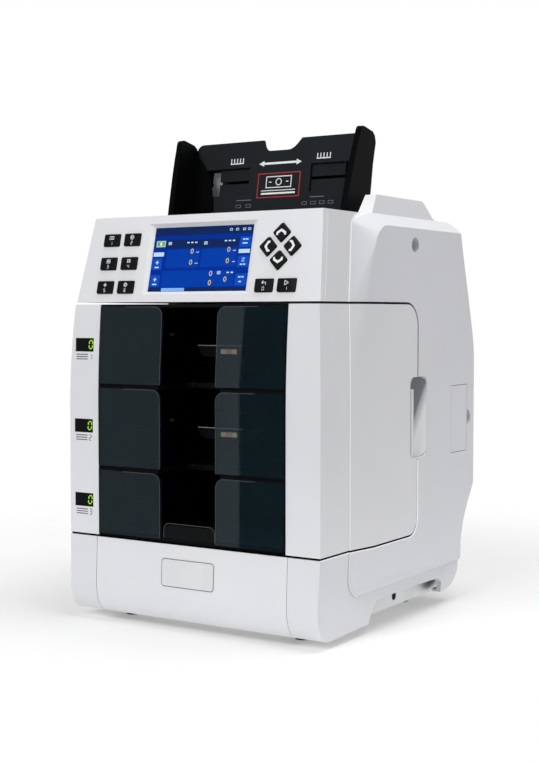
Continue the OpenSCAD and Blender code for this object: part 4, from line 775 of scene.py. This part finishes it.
def shade(name, slope, start, stops):
    """Painted shade: casing colour that darkens along a direction, given per metre."""
    mat, tree, shader = new_material(name)
    where = mottled(tree, shader, (0.76, 0.765, 0.79), 0.03, 30.0)
    along = add(tree, "ShaderNodeVectorMath", {0: where, 1: slope}, operation="DOT_PRODUCT")
    share = calc(tree, "SUBTRACT", along.outputs["Value"], start)
    tree.links.new(ramp(tree, share, stops), shader.inputs["Base Color"])
    shader.inputs["Roughness"].default_value = 0.45
    return mat


def recess_row(dz):
    """How far a rounded end of the recess draws in at a height from its middle."""
    past = max(0.0, abs(dz) - RECESS_H / 2 + RECESS_R)
    return RECESS_R - math.sqrt(RECESS_R ** 2 - past ** 2)


def dish_area(low, high, n):
    """Part of the dish's floor between two heights, rounded where the recess ends."""
    rows = steps(low + SHADE_IN, high - SHADE_IN, n)
    front = [(recess_row(dz) + SHADE_IN, dz) for dz in rows]
    return front + [(DISH_W - SHADE_IN, rows[-1]), (DISH_W - SHADE_IN, rows[0])]


scoop_rise, scoop_run = SCOOP_DEPTH + SCOOP_PAST[0], SCOOP_W + SCOOP_PAST[1] - SCOOP_FLOOR
scoop_turn = math.atan2(scoop_rise, scoop_run)
scoop_y = DOOR_REAR + SCOOP_FLOOR
scoop_end = DOOR_REAR + SCOOP_W - SHADE_IN - scoop_y
scoop = SideFace((SIDE_X - SCOOP_DEPTH, scoop_y - MID_Y, RECESS_Z), math.degrees(scoop_turn))
scoop_rows = steps(SHADE_IN - RECESS_H / 2, RECESS_H / 2 - SHADE_IN, 26)
scoop_area = [(SHADE_IN, scoop_rows[0])]
scoop_area += [((scoop_end - recess_row(dz)) / math.cos(scoop_turn), dz) for dz in scoop_rows]
scoop_area.append((SHADE_IN, scoop_rows[-1]))
scoop_start = (RECESS_Z - RECESS_H / 2) / RECESS_H - SCOOP_SKEW * (scoop_y - MID_Y) / scoop_run
# Painted light at the scoop's lower end, painted shade above it.
scoop_shade = shade("scoop_shade", (0.0, -SCOOP_SKEW / scoop_run / MM, 1.0 / RECESS_H / MM), scoop_start,
                    [(0.0, BRIGHT), (0.1, PALE), (0.24, MID_GREY), (0.33, DARK_GREY), (0.78, DARK_GREY),
                     (0.98, MID_GREY)])
sheet_piece("scoop_shade", scoop, [scoop_area], SHADE_OUT, scoop_shade, "chassis", SHADE_T)

dish_y = DOOR_BACK - DISH_W - MID_Y
dish_top = RECESS_H / 2 - DISH_DEEP_H
dish_shade = shade("dish_shade", (0.0, 1.0 / DISH_W / MM, 0.0), dish_y / DISH_W,
                   [(0.0, DARK_GREY), (0.42, DARK_GREY), (0.62, MID_GREY), (0.85, PALE)])
dish = SideFace((SIDE_X - DISH_DEPTH, dish_y, RECESS_Z), 0.0)
shallow_area = dish_area(-RECESS_H / 2, dish_top, 20)
sheet_piece("dish_shade", dish, [shallow_area], SHADE_OUT, dish_shade, "door", SHADE_T)
deep = SideFace((SIDE_X - SCOOP_DEPTH, dish_y, RECESS_Z), 0.0)
deep_area = dish_area(dish_top, RECESS_H / 2, 10)
sheet_piece("deep_shade", deep, [deep_area], SHADE_OUT, dish_shade, "door", SHADE_T)


# Painted shade in the gap under the door: a dark sheet and tube set into the gap
GAP_SHADE_IN, GAP_SHADE_T, GAP_SHADE_H, GAP_SHADE_START, GAP_SHADE_LAST = 0.9, 1.2, 1.6, 2.4, 65
gap_shade_plane = Face((0, GAP_SHADE_IN - MID_Y, DOOR_BOTTOM), 0.0)
gap_shade_area = rect(0, 0, FRONT_W - 2 * GAP_SHADE_IN, GAP_SHADE_H)
sheet_piece("gap_shade_front", gap_shade_plane, [gap_shade_area], 0.0, guide_black, "chassis", GAP_SHADE_T)
gap_shade_line = [Vector((side_x(y) - GAP_SHADE_IN, y - MID_Y, z)) for y, z in under_door(GAP_SHADE_START, 0.0, GAP_SHADE_LAST)]
even_tube("gap_shade_right", gap_shade_line, GAP_SHADE_H / 2, guide_black, "chassis")


# Webs that close the rear lower corners between the rear cover and the side covers
WEB_X, WEB_T = (117.5, 130.7), 2.2
WEB_REAR = ((22.0, 110.5), (24.0, 111.9), (27.0, 113.6), (30.0, 114.6), (34.0, 115.4), (60.0, 115.4),
            (66.0, 116.6), (70.0, 117.8), (74.0, 119.0), (78.2, 120.5))


def corner_web(name, x0, x1):
    """Curved plate between two upright planes; its rear face follows (height, depth) points."""
    bm = bmesh.new()
    line = [(y, z) for z, y in WEB_REAR] + [(y - WEB_T, z) for z, y in reversed(WEB_REAR)]
    near, far = ([bm.verts.new(Vector((x, y, z)) * MM) for y, z in line] for x in (x0, x1))
    close_loops(bm, near, far)
    new_piece(name, bm, shaded_side_casing, "chassis")


corner_web("corner_web_right", *WEB_X)
corner_web("corner_web_left", -WEB_X[1], -WEB_X[0])


# Painted highlights along the edges of the smoked guards
LINE_IN, LINE_T, LINE_LOW, LINE_RUN, LINE_OUT, LINE_THICK = 0.4, 0.45, 0.6, 34.0, 0.1, 0.05
guard_highlight = ink("guard_edge", (0.075, 0.08, 0.085))
for i, (low, high) in enumerate(POCKETS):
    lean = math.degrees(math.atan(face_y(high) / (high - low))) if i == 0 else 0.0
    plate = Face((0, -MID_Y, low + GUARD_GAP / 2), lean)
    top, mid = high - low - GUARD_GAP, GUARD_X + GUARD_CORNER
    line = [(mid + LINE_RUN, top - LINE_IN)]
    line += arc(mid, top - GUARD_CORNER, GUARD_CORNER - LINE_IN, 90, 180, 6)
    line.append((GUARD_X + LINE_IN, LINE_LOW))
    marks = path(line, LINE_T) + path([(-u, v) for u, v in line], LINE_T)
    sheet_piece("guard_edges_%d" % i, plate, marks, GUARD_PROUD + LINE_OUT, guard_highlight, "door", LINE_THICK)


# Details inside the pockets: a coloured sticker that glows as painted light and a painted highlight on the
# upper edge of each note arm, lenses on the left
STICKER_V, STICKER_H = -6.0, 4.4
LENS_Y, LENS_IN, LENS_RISES, LENS_T = 108.0, 3.0, (47.0, 38.0), 2.0
# The sticker colours glow though they are no lamps: painted light.
sticker_yellow = glow("sticker_yellow", (1.0, 0.5, 0.2), 1.2)
sticker_pink = glow("sticker_pink", (1.0, 0.24, 0.18), 1.3)
# One grey serves for the painted highlight on the arms and for the lenses' own colour.
highlight_and_lens_grey = ink("highlight_and_lens_grey", (0.3, 0.31, 0.32))


def sticker(name, face, middles, width, mat):
    """Coloured fields of a sticker, kept out of reflections."""
    fields = [rect(u, STICKER_V, width, STICKER_H) for u in middles]
    sheet_piece(name, face, fields, PRINT, mat, "door").visible_glossy = False


for i, (shelf, lens_rise) in enumerate(zip((SHELF_HIGH, SHELF_LOW), LENS_RISES)):
    arm = Face((0, ARM_Y - MID_Y, shelf + ARM_RISE), 0.0)
    sheet_piece("arm_highlight_line_%d" % i, arm, [rect(0, -0.4, ARM_W, 0.7)], PRINT, highlight_and_lens_grey, "door")
    sticker("sticker_%d" % i, arm, (4.0, 17.0), 5.0, sticker_yellow)
    sticker("sticker_mid_%d" % i, arm, (10.5,), 8.0, sticker_pink)
    wall = Face((LENS_IN - POCKET_X, LENS_Y - MID_Y, shelf + lens_rise), 0.0)
    lenses = [rect(d, 0.0, 2.2, 3.0) for d in (-1.6, 1.6)]
    sheet_piece("lens_%d" % i, wall, lenses, 0.0, highlight_and_lens_grey, "door", LENS_T)


# Painted highlight along the lip of the reject tray
LIP_IN, LIP_START, LIP_T = 0.4, 0.5, 0.6
lip_highlight_grey = ink("lip_highlight_grey", (0.07, 0.073, 0.078))
half_lip = [(LIP_X - LIP_IN, LIP_START)] + arc(LIP_X - LIP_R, LIP_H - LIP_R, LIP_R - LIP_IN, 0, 90, 5)
lip_line = half_lip + [(-u, v) for u, v in reversed(half_lip)]
lip_face = Face((0, LIP_Y - MID_Y, LIP_LOW), 0.0)
sheet_piece("tray_highlight_line", lip_face, path(lip_line, LIP_T), PRINT, lip_highlight_grey, "door")


# Studio, in metres
FLOOR_FADE, FLOOR_END, FLOOR_TONE, FLOOR_GLOW = 0.22, 0.8, 0.67, 0.28
CARD_EDGE, CARD_SOFTNESS, SOFT_LIGHT = 0.5942, 0.0002, 0.36
ROOM_STOPS = ((0.0, 1.0), (0.22, 1.0), (0.36, 0.1), (CARD_EDGE, 0.02))
CARD_STOPS = ((0.5965, 0.35), (0.602, 0.19), (0.66, 0.19), (0.78, 1.0))
AIM = (0.0, 0.0, 0.22)
WHITE = (1.0, 1.0, 1.0, 1.0)


def studio_floor():
    """Round pale floor that keeps the shadow and fades into the white backdrop."""
    mat, tree, shader = new_material("floor_pale")
    where = mottled(tree, shader, (FLOOR_TONE, FLOOR_TONE, FLOOR_TONE), 0.008, 2.0)
    shader.inputs["Emission Color"].default_value = WHITE
    shader.inputs["Emission Strength"].default_value = FLOOR_GLOW
    shader.inputs["Roughness"].default_value = 0.9
    shader.inputs["Specular IOR Level"].default_value = 0.0
    reach = add(tree, "ShaderNodeVectorMath", {0: where}, operation="LENGTH")
    fade = span(tree, reach.outputs["Value"], (FLOOR_FADE, FLOOR_END), (1.0, 0.0),
                interpolation_type="SMOOTHSTEP")
    tree.links.new(fade, shader.inputs["Alpha"])
    bm = bmesh.new()
    bmesh.ops.create_circle(bm, cap_ends=True, segments=64, radius=FLOOR_END)
    obj = new_object("studio_floor", bm, mat)
    obj.visible_glossy = False


def studio_world():
    """White behind the object, dark in front, with a card at the front left that has a sharp edge."""
    world = bpy.data.worlds.new("studio")
    bpy.context.scene.world = world
    world.use_nodes = True
    tree = world.node_tree
    tree.nodes.clear()
    out = tree.nodes.new("ShaderNodeOutputWorld")
    way = add(tree, "ShaderNodeTexCoord").outputs["Generated"]
    axes = add(tree, "ShaderNodeSeparateXYZ", {"Vector": way})
    back = calc(tree, "MULTIPLY", axes.outputs["Y"], -1.0)
    aside = calc(tree, "MULTIPLY", axes.outputs["X"], -1.0)
    turn = span(tree, calc(tree, "ARCTAN2", aside, back), (-math.pi, math.pi), (0.0, 1.0))

    def greys(stops):
        tones = ramp(tree, turn, [(place, (grey, grey, grey)) for place, grey in stops])
        return add(tree, "ShaderNodeBackground", {"Color": tones, "Strength": 1.0}).outputs[0]

    def mixed(share, first, second):
        return add(tree, "ShaderNodeMixShader", {0: share, 1: first, 2: second}).outputs[0]

    edge = span(tree, turn, (CARD_EDGE, CARD_EDGE + CARD_SOFTNESS), (0.0, 1.0))
    seen = mixed(edge, greys(ROOM_STOPS), greys(CARD_STOPS))
    soft = add(tree, "ShaderNodeBackground", {"Color": WHITE, "Strength": SOFT_LIGHT}).outputs[0]
    rays = add(tree, "ShaderNodeLightPath").outputs
    direct = calc(tree, "MAXIMUM", rays["Is Camera Ray"], rays["Is Glossy Ray"])
    shown = calc(tree, "MAXIMUM", direct, rays["Is Transmission Ray"])
    tree.links.new(mixed(shown, soft, seen), out.inputs["Surface"])


def lamp(name, place, size, power):
    """Soft area light aimed at the object."""
    data = bpy.data.lights.new(name, "AREA")
    data.shape = "DISK"
    data.size = size
    data.energy = power
    obj = bpy.data.objects.new(name, data)
    bpy.context.scene.collection.objects.link(obj)
    obj.location = place
    obj.rotation_euler = (Vector(AIM) - Vector(place)).to_track_quat("-Z", "Y").to_euler()


studio_floor()
studio_world()
lamp("key_light", (-0.25, -2.6, 1.9), size=1.6, power=44.0)
lamp("top_light", (0.65, 0.1, 2.5), size=1.5, power=33.0)
lamp("right_fill", (2.3, 0.3, 0.9), size=1.6, power=3.0)

# Camera at the photograph's place
YAW, PITCH = math.radians(32.67), math.radians(2.82)
CAMERA_AT, LENS, SENSOR_H = (0.7302, -1.15625, 0.2932), 64.455, 36.0
camera_data = bpy.data.cameras.new("photo_camera")
camera_data.sensor_fit = "VERTICAL"
camera_data.sensor_height = SENSOR_H
camera_data.lens = LENS
camera = bpy.data.objects.new("photo_camera", camera_data)
bpy.context.scene.collection.objects.link(camera)
camera.location = CAMERA_AT
look = Vector((-math.sin(YAW) * math.cos(PITCH), math.cos(YAW) * math.cos(PITCH), -math.sin(PITCH)))
camera.rotation_euler = look.to_track_quat("-Z", "Y").to_euler()
bpy.context.scene.camera = camera
bpy.context.scene.view_settings.view_transform = "Standard"
